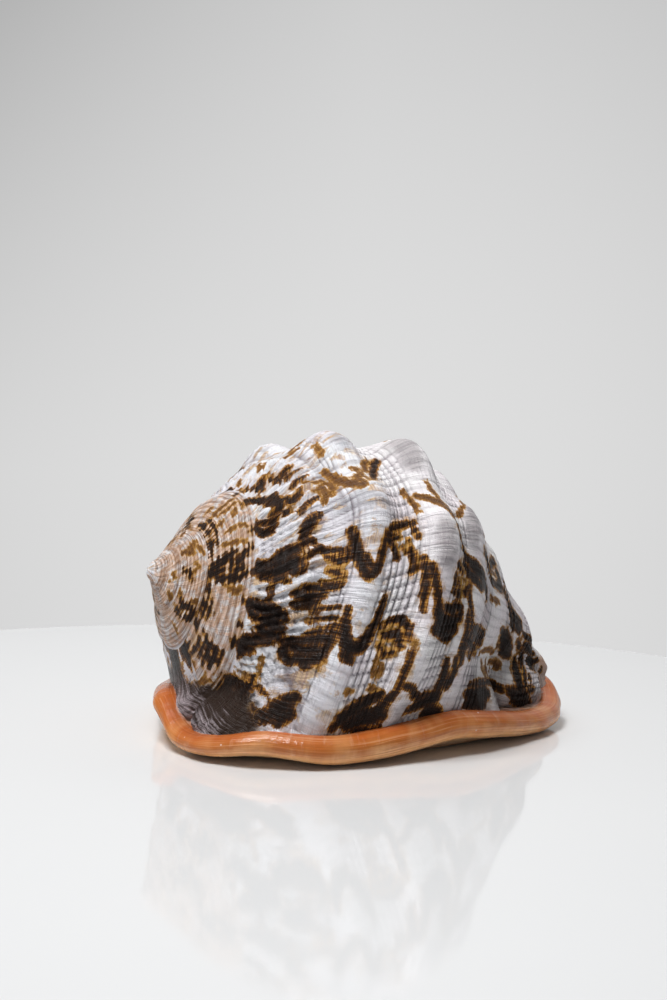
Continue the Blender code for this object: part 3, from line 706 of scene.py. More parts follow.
# Blotches of the spire by whorl: strokes of (way from the inner suture, angle in degrees, half width in mm)
SPIRE_DARK = {
    1: (
        ((0.5, -44, 0.7), (2.5, -38, 0.7)), ((2, -26, 0.8), (3.5, -20, 1.0)), ((5, -27, 0.8), (6, -20, 0.8)),
        ((6.5, -26, 0.6), (9.5, -32, 0.6), (12, -35, 0.5)), ((1.5, 6, 0.6), (2.3, 10, 0.8)),
        ((0.4, 15, 0.8), (2, 17, 0.9), (3.5, 15, 0.8)), ((4, 18, 0.7), (5.2, 17, 0.6)),
        ((4.2, 22, 0.6), (4.6, 27, 0.9), (4.4, 32, 0.7)), ((2.6, 28, 0.8), (3.2, 31, 0.8)),
        ((0.5, 29, 0.7), (1.0, 31, 0.5)), ((0.2, 40, 0.8), (1.0, 43, 1.2), (2.5, 44, 1.0)),
        ((0.5, 48, 1.0), (2.2, 47, 1.0), (3.6, 44, 0.9)), ((4, 38, 0.6), (5, 36, 0.5)),
        ((3.8, 46, 0.7), (4.5, 48, 0.5)), ((0.2, 57, 0.6), (0.8, 60, 0.5)), ((2, 53, 0.5), (2, 58, 0.5)),
        ((2, 72, 1.6), (4, 70, 2.0), (6.5, 66, 1.8), (9, 63, 1.6), (11, 61, 1.2)),
        ((1, 76, 1.6), (4, 76, 2.0), (6.5, 73, 1.6)),
        ((5.5, 79, 1.3), (8.5, 79, 1.4), (12, 78, 1.6), (15, 77, 1.2), (17, 74, 1.0)),
        ((10.5, 67, 1.4), (10.5, 72, 1.2)), ((12, 66, 0.8), (14, 68, 1.6), (15, 63, 1.2), (17, 61, 1.0)),
        ((12, 73, 1.2), (15, 72, 1.3)), ((0.5, 82, 1.2), (1.5, 86, 1.0)), ((1.5, 90, 0.8), (3, 92, 0.5)),
        ((3.5, 97, 0.7), (4.5, 99, 0.6)), ((0.5, 104, 1.3), (2.5, 105, 1.3), (5, 105, 1.0), (5, 109, 0.8)),
        ((1, 110, 0.9), (3, 114, 0.8)), ((0.5, 122, 1.2), (2, 126, 1.0)), ((4, 131, 0.7), (5.5, 135, 1.0)),
        ((6, 124, 0.7), (9, 126, 1.6), (12, 125, 1.4), (14.5, 123, 1.0)),
        ((7, 129, 0.9), (10, 131, 1.2), (13.5, 129, 1.3), (15, 126, 0.9)), ((6, 137, 1.0), (10, 138, 1.0)),
        ((11, 136, 0.9), (14, 134, 0.7)), ((18.3, 24, 0.8), (19.5, 22, 0.8)), ((18.8, 8, 0.5),
         (19.6, 7, 0.4)),
        ((18.6, 48, 0.5), (19.4, 46, 0.5)), ((17.8, 58, 0.5), (19.5, 58, 0.6)), ((18.5, 75, 0.4),
         (19.6, 74, 0.6)),
        ((18.2, 90, 0.9), (19.6, 90, 1.2)), ((18.3, 103, 0.5), (19.6, 103, 0.5)), ((18, 113, 1.5),
         (19.6, 112, 1.6)),
        ((18.5, 134, 0.8), (19.5, 133, 1.0)),
    ),
    2: (
        ((2, 74, 0.6), (3.5, 76, 0.8)), ((4.5, 78, 1.0), (5.5, 84, 0.9)), ((3.5, 118, 1.0), (5, 122, 1.2),
         (6.5, 118, 1.0)),
        ((8, 116, 1.2), (10, 118, 1.3), (10, 124, 1.2), (7.5, 128, 1.0)), ((3, 132, 1.0), (6, 133, 1.0)),
    ),
}
SPIRE_GOLD = {
    1: (
        ((1.2, -17, 0.8), (2.5, -20, 0.8)), ((1, -12, 0.6), (1.2, -15, 0.6)), ((7, 3, 0.7), (8.5, 2, 0.8)),
        ((6.5, 15, 0.7), (9, 14, 0.7), (13, 14, 0.8), (16, 15, 0.6)), ((5.5, 31, 0.5), (8, 30, 0.7)),
        ((13, 29, 0.6), (14, 26, 0.5)), ((9, 42, 0.5), (13, 41, 0.5), (17, 43, 0.5)),
        ((6.5, 53, 0.5), (9.5, 53, 0.5), (13, 53, 0.6), (16, 54, 0.6)), ((9, 84, 0.6), (13, 86, 0.9),
         (16, 84, 0.6)),
        ((9, 20, 0.5), (12, 20.5, 0.5), (15, 20.5, 0.7), (17, 21, 0.6)),
    ),
    2: (
        ((1.5, 38, 0.6), (3, 42, 0.8), (5, 47, 0.9), (6, 50, 0.6), (5.5, 38, 0.8), (6.8, 33, 0.6)),
        ((7.5, 35, 0.5), (8.5, 33, 0.4)), ((6.5, 76, 0.5), (7, 72, 0.4)), ((6.8, 64, 0.6), (8.5, 70, 0.5)),
        ((2, 110, 0.5), (3, 114, 0.6)), ((8, 109, 0.5), (10, 107, 0.6)),
        ((3.5, -32, 0.8), (5, -35, 0.7), (6.5, -35, 0.7)), ((4.5, -18, 0.7), (6.5, -22, 0.6)),
        ((6, -4, 0.6), (8, -6, 0.6)), ((9.5, 44, 0.7), (10.5, 52, 0.5)), ((11.5, 5, 0.8), (11.8, -2, 0.8)),
    ),
    3: (
        ((4.2, 82, 0.8), (4.8, 88, 0.7)), ((3.2, 102, 0.4), (3.4, 103, 0.4)), ((4, 124, 0.8),
         (5.5, 128, 0.8)),
    ),
}
# Soft patches: grey-lilac on the knobs, partly their own tint and partly painted shade, and places where
# brown stays lighter
KNOB_GREY_AND_SHADE = (
    ((24, 43, 4), (30, 43, 5), (36, 44, 3)), ((56, 50, 4), (57, 60, 4)), ((33, 8, 4), (34, 13, 3)),
    ((72, 45, 5), (76, 35, 4)), ((55, 10, 5), (54, 22, 4)), ((61, 108, 4), (61, 109, 4)), ((87, 97, 3),
     (87, 98, 3)),
)
WARM = (
    ((47, 88, 6), (47, 89, 6)), ((67, 63, 5), (67, 64, 5)), ((24, 68, 5), (24, 69, 5)), ((43, 54, 5),
     (43, 55, 5)),
    ((85, 80, 5), (85, 81, 5)), ((34, 74, 4), (36, 84, 3)),
)


# Markings
MARKS = ("dark", "gold", "grey", "warm", "groove", "band")
# Depth where no stroke is near, how far from its edge a stroke still counts, and the small radius at which
# that is turned to degrees, in millimetres
NO_MARK = -8.0
STROKE_MARGIN = 4
SLACK_RADIUS = 14.0
# The same strokes come again on the far side: moved back by degrees, from an arc on, up to an angle
BODY_COPIES = ((70.0, 86.0, 18.0), (110.0, 82.0, -4.0), (160.0, 0.0, -24.0), (320.0, 0.0, -24.0))
# On the spire they are moved by these degrees, and count beyond the half turn that the photograph shows
SPIRE_COPIES = (125.0, -118.0)
SPIRE_LAST = 72.0
SPIRE_SEEN = 45
SPIRE_SEEN_HALF = 92


def strokes_near(arc, angle, radius, table, shift=0.0, last=400.0):
    """Depth inside the nearest stroke in millimetres, negative outside"""
    out = np.full(arc.shape, NO_MARK)
    for stroke in table:
        stroke = [(l, p - shift, r) for l, p, r in stroke]
        if max(p for l, p, r in stroke) > last:
            continue
        for (l0, p0, r0), (l1, p1, r1) in zip(stroke[:-1], stroke[1:]):
            reach = max(r0, r1) + STROKE_MARGIN
            slack = np.degrees(reach / SLACK_RADIUS)
            near = (arc > min(l0, l1) - reach) & (arc < max(l0, l1) + reach)
            near &= (angle > min(p0, p1) - slack) & (angle < max(p0, p1) + slack)
            k = np.radians(np.clip(radius[near], 8, 80))
            along = l1 - l0
            across = (p1 - p0) * k
            dl = arc[near] - l0
            dp = (angle[near] - p0) * k
            u = np.clip((along * dl + across * dp) / (along * along + across * across + 1e-9), 0, 1)
            depth = r0 + (r1 - r0) * u - np.hypot(dl - along * u, dp - across * u)
            out[near] = np.maximum(out[near], depth)
    return out


def markings(values):
    """Depth in the dark, gold, grey and warm marks for every point of the whorls"""
    arc, angle, radius, whorl = (values[name] for name in ("arc", "angle", "radius", "whorl"))
    jitter = 1.2 * hash_noise(angle / 17, arc / 25, 31)
    out = {}
    for name, table, spire in (
        ("dark", DARK, SPIRE_DARK), ("gold", GOLD, SPIRE_GOLD), ("grey", KNOB_GREY_AND_SHADE, {}), ("warm", WARM, {}),
    ):
        depth = np.full(arc.shape, NO_MARK)
        body = whorl < 0.5
        found = strokes_near(arc[body], angle[body], radius[body], table)
        for shift, start, last in BODY_COPIES:
            moved = strokes_near((arc + jitter)[body], angle[body], radius[body], table, shift, last)
            found = np.maximum(found, moved - np.maximum(start - arc[body], 0.0))
        depth[body] = found
        for k, strokes in spire.items():
            here = np.abs(whorl - k) < 0.5
            places = (arc[here], angle[here], radius[here])
            found = strokes_near(*places, strokes)
            hidden = np.abs(angle[here] - SPIRE_SEEN) > SPIRE_SEEN_HALF
            for shift in SPIRE_COPIES:
                moved = strokes_near(*places, strokes, shift, SPIRE_LAST - shift)
                found = np.where(hidden, np.maximum(found, moved), found)
            depth[here] = found
        out[name] = depth
    return out


def added(name, data):
    """A new object of the scene"""
    item = bpy.data.objects.new(name, data)
    bpy.context.scene.collection.objects.link(item)
    return item


def make_object(name, points, faces, uvs, material, values=None):
    mesh = bpy.data.meshes.new(name)
    mesh.from_pydata((points * MM).tolist(), [], faces)
    layer = mesh.uv_layers.new(name="growth")
    layer.data.foreach_set("uv", np.array(uvs, dtype=np.float32).ravel())
    mesh.polygons.foreach_set("material_index", np.full(len(faces), material, dtype=np.int32))
    for key in MARKS:
        attribute = mesh.attributes.new(key, "FLOAT", "POINT")
        data = np.zeros(len(points), dtype=np.float32) if values is None else values[key].astype(np.float32)
        attribute.data.foreach_set("value", data)
    bm = bmesh.new()
    bm.from_mesh(mesh)
    bmesh.ops.recalc_face_normals(bm, faces=bm.faces)
    bmesh.ops.triangulate(bm, faces=[f for f in bm.faces if len(f.verts) > 4])
    bm.to_mesh(mesh)
    bm.free()
    item = added(name, mesh)
    item.location = (-MIDDLE[0] * MM, -MIDDLE[1] * MM, 0.0)
    return item


# Plate and slot
PLATE_STEPS = 244
SLOT_FINE = 320
# Shares of the plate's reach where its top starts, where its underside turns flat and where that ends
TOP_SHARE = 0.70
UNDER_SHARE = 0.80
END_SHARE = 0.06
UNDER_INSET = 4.0
# How much smaller the fine roll is than the coarse one, outwards and in half thickness
ROLL_LESS = 0.45
HALF_LESS = 0.1
# Height and half thickness of the front rows of the roll, which rises and thins more than the coarse one
RIM_SEEN = (
    (11.5, 3.7), (4.7, 3.4), (4.9, 3.5), (7.2, 4.0), (5.4, 4.65), (6.9, 5.0), (9.4, 4.8), (7.9, 4.6),
    (5.4, 4.3), (4.7, 4.4), (6.5, 4.4),
)


def build_fine_plate():
    steps = PLATE_STEPS
    u = np.linspace(0, 1, steps, endpoint=False)
    seen = [(*row[:2], *change) for row, change in zip(RIM, RIM_SEEN)]
    rim = closed_table(u, tuple(seen) + RIM[len(seen):])
    centre = np.array(PLATE_CENTRE)
    reach = np.linalg.norm(rim[:, :2] - centre, axis=1)
    away = (rim[:, :2] - centre) / reach[:, None]
    height = rim[:, 2]
    half = rim[:, 3]
    along = np.concatenate([[0.0], np.cumsum(np.linalg.norm(np.diff(rim[:, :2], axis=0), axis=1))])
    wave = 0.25 * np.cos(2 * pi * u * 17 + 1.3) * np.cos(2 * pi * u * 5) - 0.3
    inner = reach - ROLL_OUT
    rings = [(TOP_SHARE * reach, np.full(steps, PLATE_TOP), 1.6)]
    for turn in range(112, -91, -9):
        swell = 1 + 0.03 * np.cos(2 * pi * u * 23 + radians(turn) * 2)
        out = inner + (ROLL_OUT - ROLL_LESS) * swell * cos(radians(turn)) + wave * cos(radians(turn))
        rings.append((out, height + (half - HALF_LESS) * sin(radians(turn)), turn / 90.0))
    low = height - half
    under = UNDER_SHARE * reach - UNDER_INSET
    for f in np.linspace(0, 1, 8)[1:]:
        blend = f * f * (3 - 2 * f)
        rings.append((inner + (under - inner) * f, (low + HALF_LESS) * (1 - blend), -1.0 - 0.5 * f))
    for f in np.linspace(0, 1, 14)[1:]:
        rings.append((under * (1 - f) + END_SHARE * reach * f, np.zeros(steps), -1.5 - 0.5 * f))
    points = [np.column_stack([centre + away * distance[:, None], level]) for distance, level, _ in rings]
    rolls = [roll for _, _, roll in rings]
    along = np.append(along, along[-1] + along[1] - along[0]) * UV_SCALE
    faces = []
    uvs = []
    corners = ((0, 0), (1, 0), (1, 1), (0, 1))
    for i in range(len(rings) - 1):
        for k in range(steps):
            faces.append([(i + row) * steps + (k + side) % steps for row, side in corners])
            uvs.extend((along[k + side], rolls[i + row]) for row, side in corners)
    faces.append(list(range(steps)))
    faces.append([(len(rings) - 1) * steps + k for k in range(steps)][::-1])
    uvs.extend([(0.0, rolls[0])] * steps + [(0.0, rolls[-1])] * steps)
    return np.concatenate(points), faces, uvs


def build_fine_slot():
    rows = np.asarray(SLOT, float)
    steps = SLOT_FINE
    x = np.linspace(rows[0, 0], rows[-1, 0], steps)
    y = smooth_table(x, rows[:, 0], rows[:, 1])
    half = smooth_table(x, rows[:, 0], rows[:, 2])
    roof = smooth_table(x, rows[:, 0], rows[:, 3])
    between = smoothstep(x, 16, 28) * (1 - smoothstep(x, 122, 134))
    lip_tooth = TOOTH_DEPTH * np.cos(2 * pi * x / TOOTH_PITCH) * between
    wall_tooth = 0.7 * TOOTH_DEPTH * np.cos(2 * pi * x / (0.8 * TOOTH_PITCH) + 1.0) * between
    wide = HOLLOW_WIDEN * smoothstep(x, 12, 40) * (1 - smoothstep(x, 100, 130))
    points = []
    for i in range(steps):
        lip = min(LIP_THICKNESS, 0.55 * roof[i])
        left = half[i] + lip_tooth[i]
        right = half[i] + wall_tooth[i]
        belly = half[i] + wide[i]
        mid = 0.6 * roof[i] + 0.4 * lip
        # the teeth fade into the hollow, and the lips open a little at the mouth
        section = (
            (-left - 1.6, -4.0), (-left - 1.0, 0.0), (-left, 2.2), (-left, lip), (-belly, mid),
            (-0.5 * belly, roof[i]), (0.5 * belly, roof[i]), (belly, mid), (right, lip), (right, 2.2),
            (right + 1.0, 0.0), (right + 1.6, -4.0),
        )
        points.extend((x[i], y[i] + p, z) for p, z in section)
    m = len(section)
    faces = []
    corners = ((0, 0), (0, 1), (1, 1), (1, 0))
    for i in range(steps - 1):
        for k in range(m):
            faces.append([(i + row) * m + (k + side) % m for row, side in corners])
    faces.append(list(range(m))[::-1])
    faces.append([(steps - 1) * m + k for k in range(m)])
    uvs = [(points[v][0] * UV_SCALE, points[v][2] * UV_SCALE) for face in faces for v in face]
    return np.array(points), faces, uvs


body_points, body_faces, body_uvs, body_values = build_fine_whorls()
body_values.update(markings(body_values))
shell = make_object("shell_visual", body_points, body_faces, body_uvs, 0, body_values)
plate = make_object("shield_tool", *build_fine_plate(), 1)
slot = make_object("aperture_tool", *build_fine_slot(), 2)


# Materials: outlets of the texture coordinate node, and the scale that turns metres to millimetres
GROWTH = 2
OBJECT = 3
TO_MM = 1000.0


class Value:
    """Output of a shader node. Arithmetic on it adds math nodes to its tree"""

    def __init__(self, socket):
        self.socket = socket
        self.tree = socket.id_data

    def math(self, operation, other):
        return add_node(self.tree, "ShaderNodeMath", self, other, operation=operation)

    def __add__(self, other):
        return self.math("ADD", other)

    def __sub__(self, other):
        return self.math("SUBTRACT", other)

    def __rsub__(self, other):
        return add_node(self.tree, "ShaderNodeMath", other, self, operation="SUBTRACT")

    def __mul__(self, other):
        return self.math("MULTIPLY", other)

    def __neg__(self):
        return self * -1.0

    __radd__ = __add__


def put(socket, value):
    """Links a value to a socket, or sets the socket's own number, vector or colour"""
    if isinstance(value, Value):
        socket.id_data.links.new(value.socket, socket)
    elif socket.type == "RGBA":
        socket.default_value = (*value, 1.0)
    else:
        socket.default_value = value


def add_node(tree, kind, *inputs, outlet=0, **settings):
    """A node with inputs by place, and properties or inputs by name"""
    made = tree.nodes.new(kind)
    for key, value in settings.items():
        if key in made.bl_rna.properties:
            setattr(made, key, value)
        else:
            put(made.inputs[key.replace("_", " ")], value)
    for socket, value in zip(made.inputs, inputs):
        put(socket, value)
    return Value(made.outputs[outlet])


def scaled(vector, x, y, z):
    return add_node(vector.tree, "ShaderNodeVectorMath", vector, (x, y, z), operation="MULTIPLY")


def axis(vector, k):
    return add_node(vector.tree, "ShaderNodeSeparateXYZ", vector, outlet=k)


def noise(place, scales, detail=3.0, roughness=0.6, distortion=0.0):
    return add_node(
        place.tree, "ShaderNodeTexNoise", Vector=scaled(place, *scales), Scale=1.0, Detail=detail,
        Roughness=roughness, Distortion=distortion,
    )


def about(value, amount):
    """Noise turned to a swing of about plus or minus the amount"""
    return (value - 0.5) * (4.0 * amount)


def rise(value, low, high):
    """0 below low, 1 above high, smooth between"""
    return add_node(value.tree, "ShaderNodeMapRange", value, low, high, interpolation_type="SMOOTHSTEP")


def fall(value, high, low):
    """0 above high, 1 below low, smooth between"""
    return rise(-value, -high, -low)


def mix(factor, a, b, blend="MIX"):
    """Mixed colour. The node's colour inputs are numbers 6 and 7 and its colour output is number 2"""
    made = factor.tree.nodes.new("ShaderNodeMix")
    made.data_type = "RGBA"
    made.blend_type = blend
    for k, value in ((0, factor), (6, a), (7, b)):
        put(made.inputs[k], value)
    return Value(made.outputs[2])


def glazed(colour, *layers):
    """The colour under thin layers of (strength, colour)"""
    for strength, tint in layers:
        colour = mix(strength, colour, tint)
    return colour


def ramp(value, *stops):
    made = value.tree.nodes.new("ShaderNodeValToRGB")
    put(made.inputs[0], value)
    band = made.color_ramp
    while len(band.elements) < len(stops):
        band.elements.new(0.5)
    for element, (place, *colour) in zip(band.elements, stops):
        element.position = place
        element.color = (*colour, 1.0)
    return Value(made.outputs[0])


def bumps(height, distance, **below):
    return add_node(height.tree, "ShaderNodeBump", Strength=1.0, Distance=distance, Height=height, **below)


def new_material(name):
    material = bpy.data.materials.new(name)
    material.use_nodes = True
    return material


def coordinates(material, outlet, scale):
    found = add_node(material.node_tree, "ShaderNodeTexCoord", outlet=outlet)
    return scaled(found, scale, scale, scale)


def finished(material, **inputs):
    surface = material.node_tree.nodes["Principled BSDF"]
    for name, value in inputs.items():
        put(surface.inputs[name.replace("_", " ")], value)
    return material


def patterned_material():
    material = new_material("patterned_shell")
    place = coordinates(material, OBJECT, TO_MM)
    growth = coordinates(material, GROWTH, 1 / UV_SCALE)
    broad = noise(place, (0.06, 0.06, 0.06), 3.0, 0.5)
    wobble = noise(place, (0.33, 0.33, 0.33))
    wisps = noise(growth, (0.22, 1.5, 1.0))
    lines = noise(growth, (1.3, 0.07, 1.0), 3.0, 0.6, 0.15)
    threads = noise(growth, (0.06, 1.9, 1.0), 2.0)
    streaks = noise(growth, (0.16, 2.0, 1.0), 2.0)
    veins = noise(growth, (0.24, 0.11, 1.0), 4.0, 0.6, 0.8)
    grain = noise(place, (2.2, 2.2, 2.2))
    dark, gold, grey, warm, groove, band = (
        add_node(place.tree, "ShaderNodeAttribute", outlet=2, attribute_name=name) for name in MARKS
    )
    arc = axis(growth, 1)
    along = axis(place, 0) + about(wobble, 2.0)
    level = axis(place, 2) + about(wobble, 2.5)
    spire = rise(band, 1.2, 1.8)
    shoulder = fall(arc + about(wobble, 8.0), 46.0, 28.0) * (1.0 - spire)

    # White ground with pink and lilac veils, knob grey (own tint plus painted shade), beige with brown
    # streaks on the spire
    ground = ramp(broad, (0.30, 0.82, 0.74, 0.77), (0.50, 0.92, 0.88, 0.90), (0.72, 0.94, 0.93, 0.92))
    # Dark grey to grey-lilac for the knobs: partly their own tint, partly painted shade under the crests
    grey_and_painted_shade = mix(rise(lines, 0.35, 0.65), (0.27, 0.25, 0.26), (0.50, 0.455, 0.465))
    beige = mix(rise(wobble, 0.42, 0.58), (0.80, 0.53, 0.37), (0.90, 0.87, 0.87))
    streak_tone = mix(rise(wobble, 0.44, 0.56), (0.42, 0.20, 0.06), (0.085, 0.04, 0.02))
    # Amber veins beside the blotches and on the shoulder, orange at the canal end, painted shade as grey low
    # down
    halo = rise(dark + about(wobble, 1.6), -2.4, -0.4) * rise(veins, 0.44, 0.60)
    faint = rise(veins, 0.52, 0.62) * (shoulder * 0.75)
    vein_tone = mix(rise(threads, 0.40, 0.62), (0.66, 0.40, 0.13), (0.34, 0.15, 0.035))
    ending = rise(arc + about(wobble, 2.0), 147.0, 151.5)
    # Painted shade: the white ground turns grey low down, near the rim and the table
    painted_low_shade = fall(level, 22.0, 11.0) * rise(arc, 50.0, 75.0)
    ground = glazed(
        ground,
        (rise(threads, 0.50, 0.75) * 0.42, (0.50, 0.42, 0.48)),
        (rise(lines, 0.54, 0.72) * 0.42, (0.50, 0.45, 0.48)),
        # Knob grey patches: the shell's own tint together with painted shade
        (rise(grey + about(wobble, 1.0), -1.5, 3.0) * 0.85, grey_and_painted_shade),
        (spire * 0.8, beige),
        (rise(streaks, 0.52, 0.60) * spire * 0.65, streak_tone),
        (shoulder * 0.30, (0.76, 0.83, 0.93)),
        ((halo * 0.70).math("MAXIMUM", faint), vein_tone),
        (ending * 0.8, (0.66, 0.34, 0.18)),
        # Painted shade low on the whorl
        (painted_low_shade * 0.72, (0.34, 0.30, 0.30)),
        # Darker in the grooves: partly the shell's own lines between tiles and cords, partly painted shade in
        # the hollows
        (groove * 0.90, mix(spire, (0.150, 0.118, 0.135), (0.20, 0.085, 0.030))),
    )

    # Blotches: a gold edge, brown, then nearly black in the middle; their ends run out in wisps
    # Blotches darker in the grooves and, on the spire, lighter on the cords: partly their own striping,
    # partly painted shade in the hollows
    ridged = (groove - 0.45) * 2.2 * spire
    depth = dark + about(wobble, 0.30) + about(wisps, 0.40) + groove * 0.25 + ridged + spire * -0.15
    core = depth - rise(warm, -1.0, 2.5) * 0.7 + about(lines, 0.75) + about(threads, 0.70)
    brown = ramp(
        (core + 0.75) * 0.50,
        (0.0, 0.56, 0.30, 0.075), (0.14, 0.40, 0.17, 0.025), (0.30, 0.17, 0.062, 0.010),
        (0.50, 0.045, 0.018, 0.007), (1.0, 0.012, 0.006, 0.004),
    )
    # Brown darkens in the grooves: the blotches' own dark lines together with painted shade
    brown = mix(groove * 0.55, brown, (0.018, 0.009, 0.006))
    tint = gold + 0.35 + about(wisps, 0.55) + about(wobble, 0.9) + ridged * 0.5
    amber = ramp(
        (tint + about(lines, 0.35) + 0.6) * 0.5,
        (0.0, 0.64, 0.42, 0.17), (0.22, 0.46, 0.235, 0.05), (0.50, 0.22, 0.095, 0.020),
        (1.0, 0.12, 0.05, 0.016),
    )
    # The low corner under the spire is dark with lilac lines
    shield = fall(level, 22.5, 19.0) * fall(along, 22.0, 17.0)
    shield_tone = mix(rise(lines + along * 0.045, 0.62, 0.98), (0.40, 0.34, 0.36), (0.030, 0.017, 0.012))
    colour = glazed(
        ground, (rise(tint, -0.65, 0.05), amber), (rise(depth, -0.85, -0.35), brown), (shield, shield_tone),
    )
    rough = 0.27 + about(grain, 0.05) + groove * 0.16 + rise(lines, 0.5, 0.7) * 0.07
    return finished(
        material,
        Base_Color=mix(rise(grain, 0.66, 0.80), colour, (0.62, 0.55, 0.50), "SOFT_LIGHT"),
        Roughness=rough,
        Normal=bumps(grain, 0.00010, Normal=bumps(lines * 0.8 + threads * 0.5, 0.0010)),
        Specular_IOR_Level=0.15,
    )


def callus_material():
    """Orange roll: pale below, deep orange on top, fine streaks along it, soft bands across it, and pale
    specks that are pits with painted glints
    """
    material = new_material("orange_callus")
    place = coordinates(material, OBJECT, TO_MM)
    growth = coordinates(material, GROWTH, 1.0)
    broad = noise(place, (0.09, 0.09, 0.09), 3.0, 0.5)
    streak = noise(growth, (5.0, 3.2, 1.0), 4.0, 0.6, 0.3)
    cross = noise(growth, (45.0, 0.8, 1.0))
    grain = noise(place, (2.0, 2.0, 2.0))
    threads = noise(growth, (2.5, 11.0, 1.0), 3.0, 0.6, 0.2)
    bands = noise(growth, (11.0, 0.35, 1.0), 2.0, 0.5, 0.3)
    # Small pale specks: pits in the roll together with painted glints
    pits_and_glints = add_node(
        place.tree, "ShaderNodeTexVoronoi", Vector=scaled(place, 0.16, 0.16, 0.16), Scale=1.0,
        Randomness=1.0,
    )
    level = axis(growth, 1) + about(broad, 0.28) + about(streak, 0.22) + about(cross, 0.10)
    colour = ramp(
        (level + 2.0) * 0.25,
        (0.0, 0.80, 0.60, 0.42), (0.22, 0.86, 0.57, 0.33), (0.40, 0.83, 0.41, 0.16),
        (0.52, 0.56, 0.172, 0.036), (0.68, 0.48, 0.115, 0.022), (0.79, 0.40, 0.100, 0.022),
        (0.84, 0.44, 0.30, 0.26), (0.88, 0.055, 0.030, 0.022),
    )
    colour = glazed(
        colour,
        (rise(cross, 0.55, 0.75) * 0.22, (0.78, 0.50, 0.32)),
        (rise(threads, 0.50, 0.64) * 0.45, (0.36, 0.084, 0.016)),
        (fall(threads, 0.46, 0.34) * 0.22, (0.90, 0.60, 0.36)),
        (rise(bands, 0.44, 0.72) * 0.26, (0.86, 0.47, 0.19)),
        # Painted highlight together with real pits: the pale specks
        (fall(pits_and_glints, 0.07, 0.03) * 0.7, (0.86, 0.76, 0.66)),
    )
    normal = bumps(grain, 0.00006, Normal=bumps(streak * 0.7 + cross * 0.35, 0.0007))
    return finished(material, Base_Color=colour, Roughness=0.20 + about(grain, 0.07), Normal=normal)


def inside_material():
    material = new_material("aperture_inside")
    place = coordinates(material, OBJECT, TO_MM)
    broad = noise(place, (0.15, 0.15, 0.15), 3.0, 0.5)
    grain = noise(place, (1.2, 1.2, 1.2), 4.0)
    colour = ramp(
        (axis(place, 2) + about(broad, 2.5)) * 0.05,
        (0.0, 0.76, 0.52, 0.34), (0.16, 0.66, 0.32, 0.14), (0.40, 0.40, 0.13, 0.04),
        (0.9, 0.22, 0.075, 0.03),
    )
    rough = 0.28 + about(grain, 0.06)
    return finished(material, Base_Color=colour, Roughness=rough, Normal=bumps(grain, 0.0003))


materials = (patterned_material(), callus_material(), inside_material())

# One mesh: the whorls joined with the plate, less the slot
for item in (shell, plate, slot):
    for made in materials:
        item.data.materials.append(made)
for tool, operation in ((plate, "UNION"), (slot, "DIFFERENCE")):
    step = shell.modifiers.new(tool.name, "BOOLEAN")
    step.operation = operation
    step.solver = "MANIFOLD"
    step.object = tool
bpy.context.view_layer.update()
joined = bpy.data.meshes.new_from_object(shell.evaluated_get(bpy.context.evaluated_depsgraph_get()))
joined.validate()
shell.modifiers.clear()
shell.data = joined
for tool in (plate, slot):
    bpy.data.objects.remove(tool, do_unlink=True)

# The marks of every point are found again from the nearest point of the whorls
lookup = KDTree(len(body_points))
for k, point in enumerate(body_points):
    lookup.insert(point * MM, k)
lookup.balance()
nearest = np.array([lookup.find(vertex.co)[1] for vertex in joined.vertices])
for key in MARKS:
    old = joined.attributes.get(key)
    if old is not None:
        joined.attributes.remove(old)
    found = body_values[key][nearest].astype(np.float32)
    joined.attributes.new(key, "FLOAT", "POINT").data.foreach_set("value", found)
for face in joined.polygons:
    face.use_smooth = True

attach(shell, "root")
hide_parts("shell")

# Camera at the photograph's viewing angle, with its place in millimetres from the frame's origin
YAW = radians(26.0)
PITCH = radians(7.07)
ROLL = radians(1.9)
EYE = np.array([-225.0 - MIDDLE[0], -592.8 - MIDDLE[1], 157.2])
level_out = np.array([sin(YAW), cos(YAW), 0.0])
level_right = np.array([cos(YAW), -sin(YAW), 0.0])
upright = np.array([0, 0, 1.0])
ahead = level_out * cos(PITCH) - upright * sin(PITCH)
above = level_out * sin(PITCH) + upright * cos(PITCH)
right = level_right * cos(ROLL) + above * sin(ROLL)
above = -level_right * sin(ROLL) + above * cos(ROLL)
camera_data = bpy.data.cameras.new("camera")
camera_data.lens = 72.0
camera_data.sensor_width = 36.0
camera = added("camera", camera_data)
rows = [(right[k], above[k], -ahead[k], EYE[k] * MM) for k in range(3)]
camera.matrix_world = Matrix(rows + [(0, 0, 0, 1)])
bpy.context.scene.camera = camera

# Stage: a glossy round white table whose far edge shows, a pale backdrop and soft lights, in metres
TABLE_CENTRE = Vector((-0.0562, -0.0839, 0.0))
TABLE_RADIUS = 0.2697
TABLE_SIDES = 256
BACKDROP_DISTANCE = 1.3
BACKDROP_CORNERS = ((-4, -2.0), (4, -2.0), (4, 3.5), (-4, 3.5))
# Shift and scale, sideways and upwards, of the places that the backdrop's shine is worked out from
BACKDROP_MIDDLE = (-0.014, 0.065)
BACKDROP_SCALE = (3.0, 2.2)
LIGHTS_TARGET = Vector((0.0, 0.0, 0.05))
sideways_axis = Vector(level_right)
upwards_axis = Vector((0, 0, 1))


def stage_piece(name, corners, material):
    mesh = bpy.data.meshes.new(name)
    mesh.from_pydata(corners, [], [tuple(range(len(corners)))])
    mesh.materials.append(material)
    item = added(name, mesh)


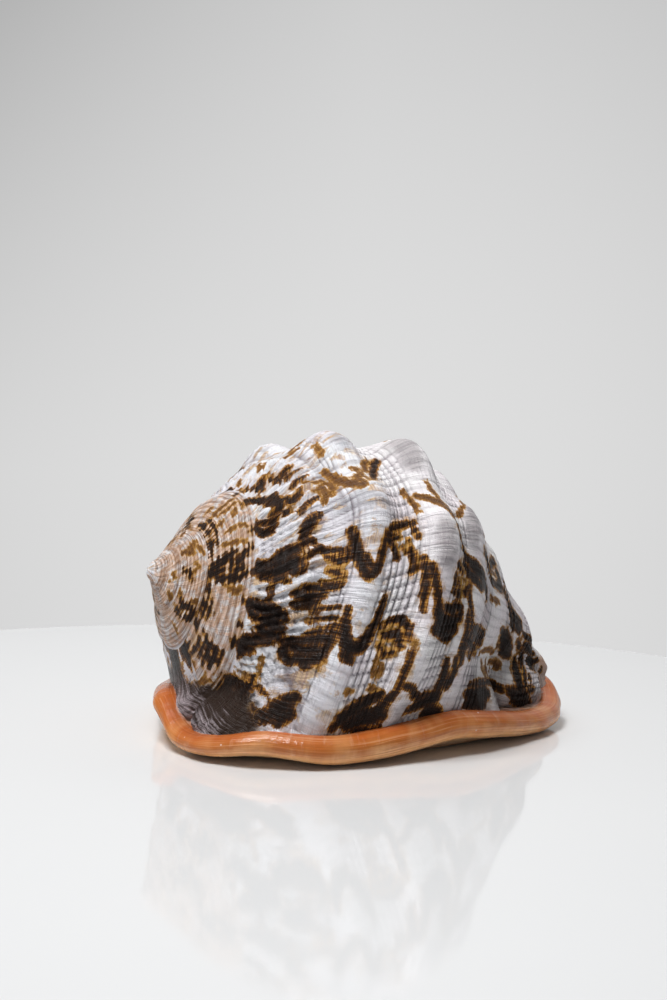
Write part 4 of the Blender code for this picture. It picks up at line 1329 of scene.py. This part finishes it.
def backdrop_material():
    """A shine that falls off towards the top, both sides and the upper left"""
    material = new_material("backdrop")
    spot = coordinates(material, OBJECT, 1.0)
    places = []
    for k, direction in enumerate((sideways_axis, upwards_axis)):
        along = add_node(
            spot.tree, "ShaderNodeVectorMath", spot, direction, operation="DOT_PRODUCT", outlet=1,
        )
        places.append((along + BACKDROP_MIDDLE[k]) * BACKDROP_SCALE[k])
    sideways, upwards = places
    wide = (sideways * sideways).math("MINIMUM", 1.5)
    upwards = upwards.math("MAXIMUM", 0.0).math("MINIMUM", 1.5)
    leftwards = (-sideways).math("MAXIMUM", 0.0).math("MINIMUM", 1.5)
    shine = 0.725 - upwards.math("POWER", 1.7) * 0.11 - wide * 0.05 - upwards * leftwards * 0.105
    return finished(
        material, Base_Color=(0.02, 0.02, 0.02), Roughness=0.9, IOR=1.3, Emission_Color=(1.0, 1.0, 1.0),
        Emission_Strength=shine,
    )


def softbox(name, place, size, power):
    """A rectangular light turned to the shell"""
    data = bpy.data.lights.new(name, "AREA")
    data.shape = "RECTANGLE"
    data.size, data.size_y = size
    data.energy = power
    item = added(name, data)
    item.location = place
    item.rotation_mode = "QUATERNION"
    item.rotation_quaternion = (LIGHTS_TARGET - Vector(place)).to_track_quat("-Z", "Y")


turns_round = [2 * pi * k / TABLE_SIDES for k in range(TABLE_SIDES)]
table_edge = [TABLE_CENTRE + Vector((cos(u), sin(u), 0)) * TABLE_RADIUS for u in turns_round]
table_material = finished(new_material("table"), Base_Color=(0.765, 0.77, 0.775), Roughness=0.06, IOR=1.45)
stage_piece("table", table_edge, table_material)
back = Vector(level_out) * BACKDROP_DISTANCE
corners = [back + sideways_axis * x + upwards_axis * z for x, z in BACKDROP_CORNERS]
stage_piece("backdrop", corners, backdrop_material())
softbox("key", (-0.30, -0.08, 0.90), (0.38, 0.38), 9.4)
softbox("fill", (-0.95, -0.7, 0.45), (0.7, 0.7), 0.7)
softbox("back", (0.35, 0.55, 0.75), (0.8, 0.5), 0.6)
world = bpy.data.worlds.new("room")
world.use_nodes = True
background = world.node_tree.nodes["Background"]
background.inputs["Color"].default_value = (0.80, 0.81, 0.83, 1)
background.inputs["Strength"].default_value = 0.17
bpy.context.scene.world = world
bpy.context.scene.view_settings.view_transform = "Standard"
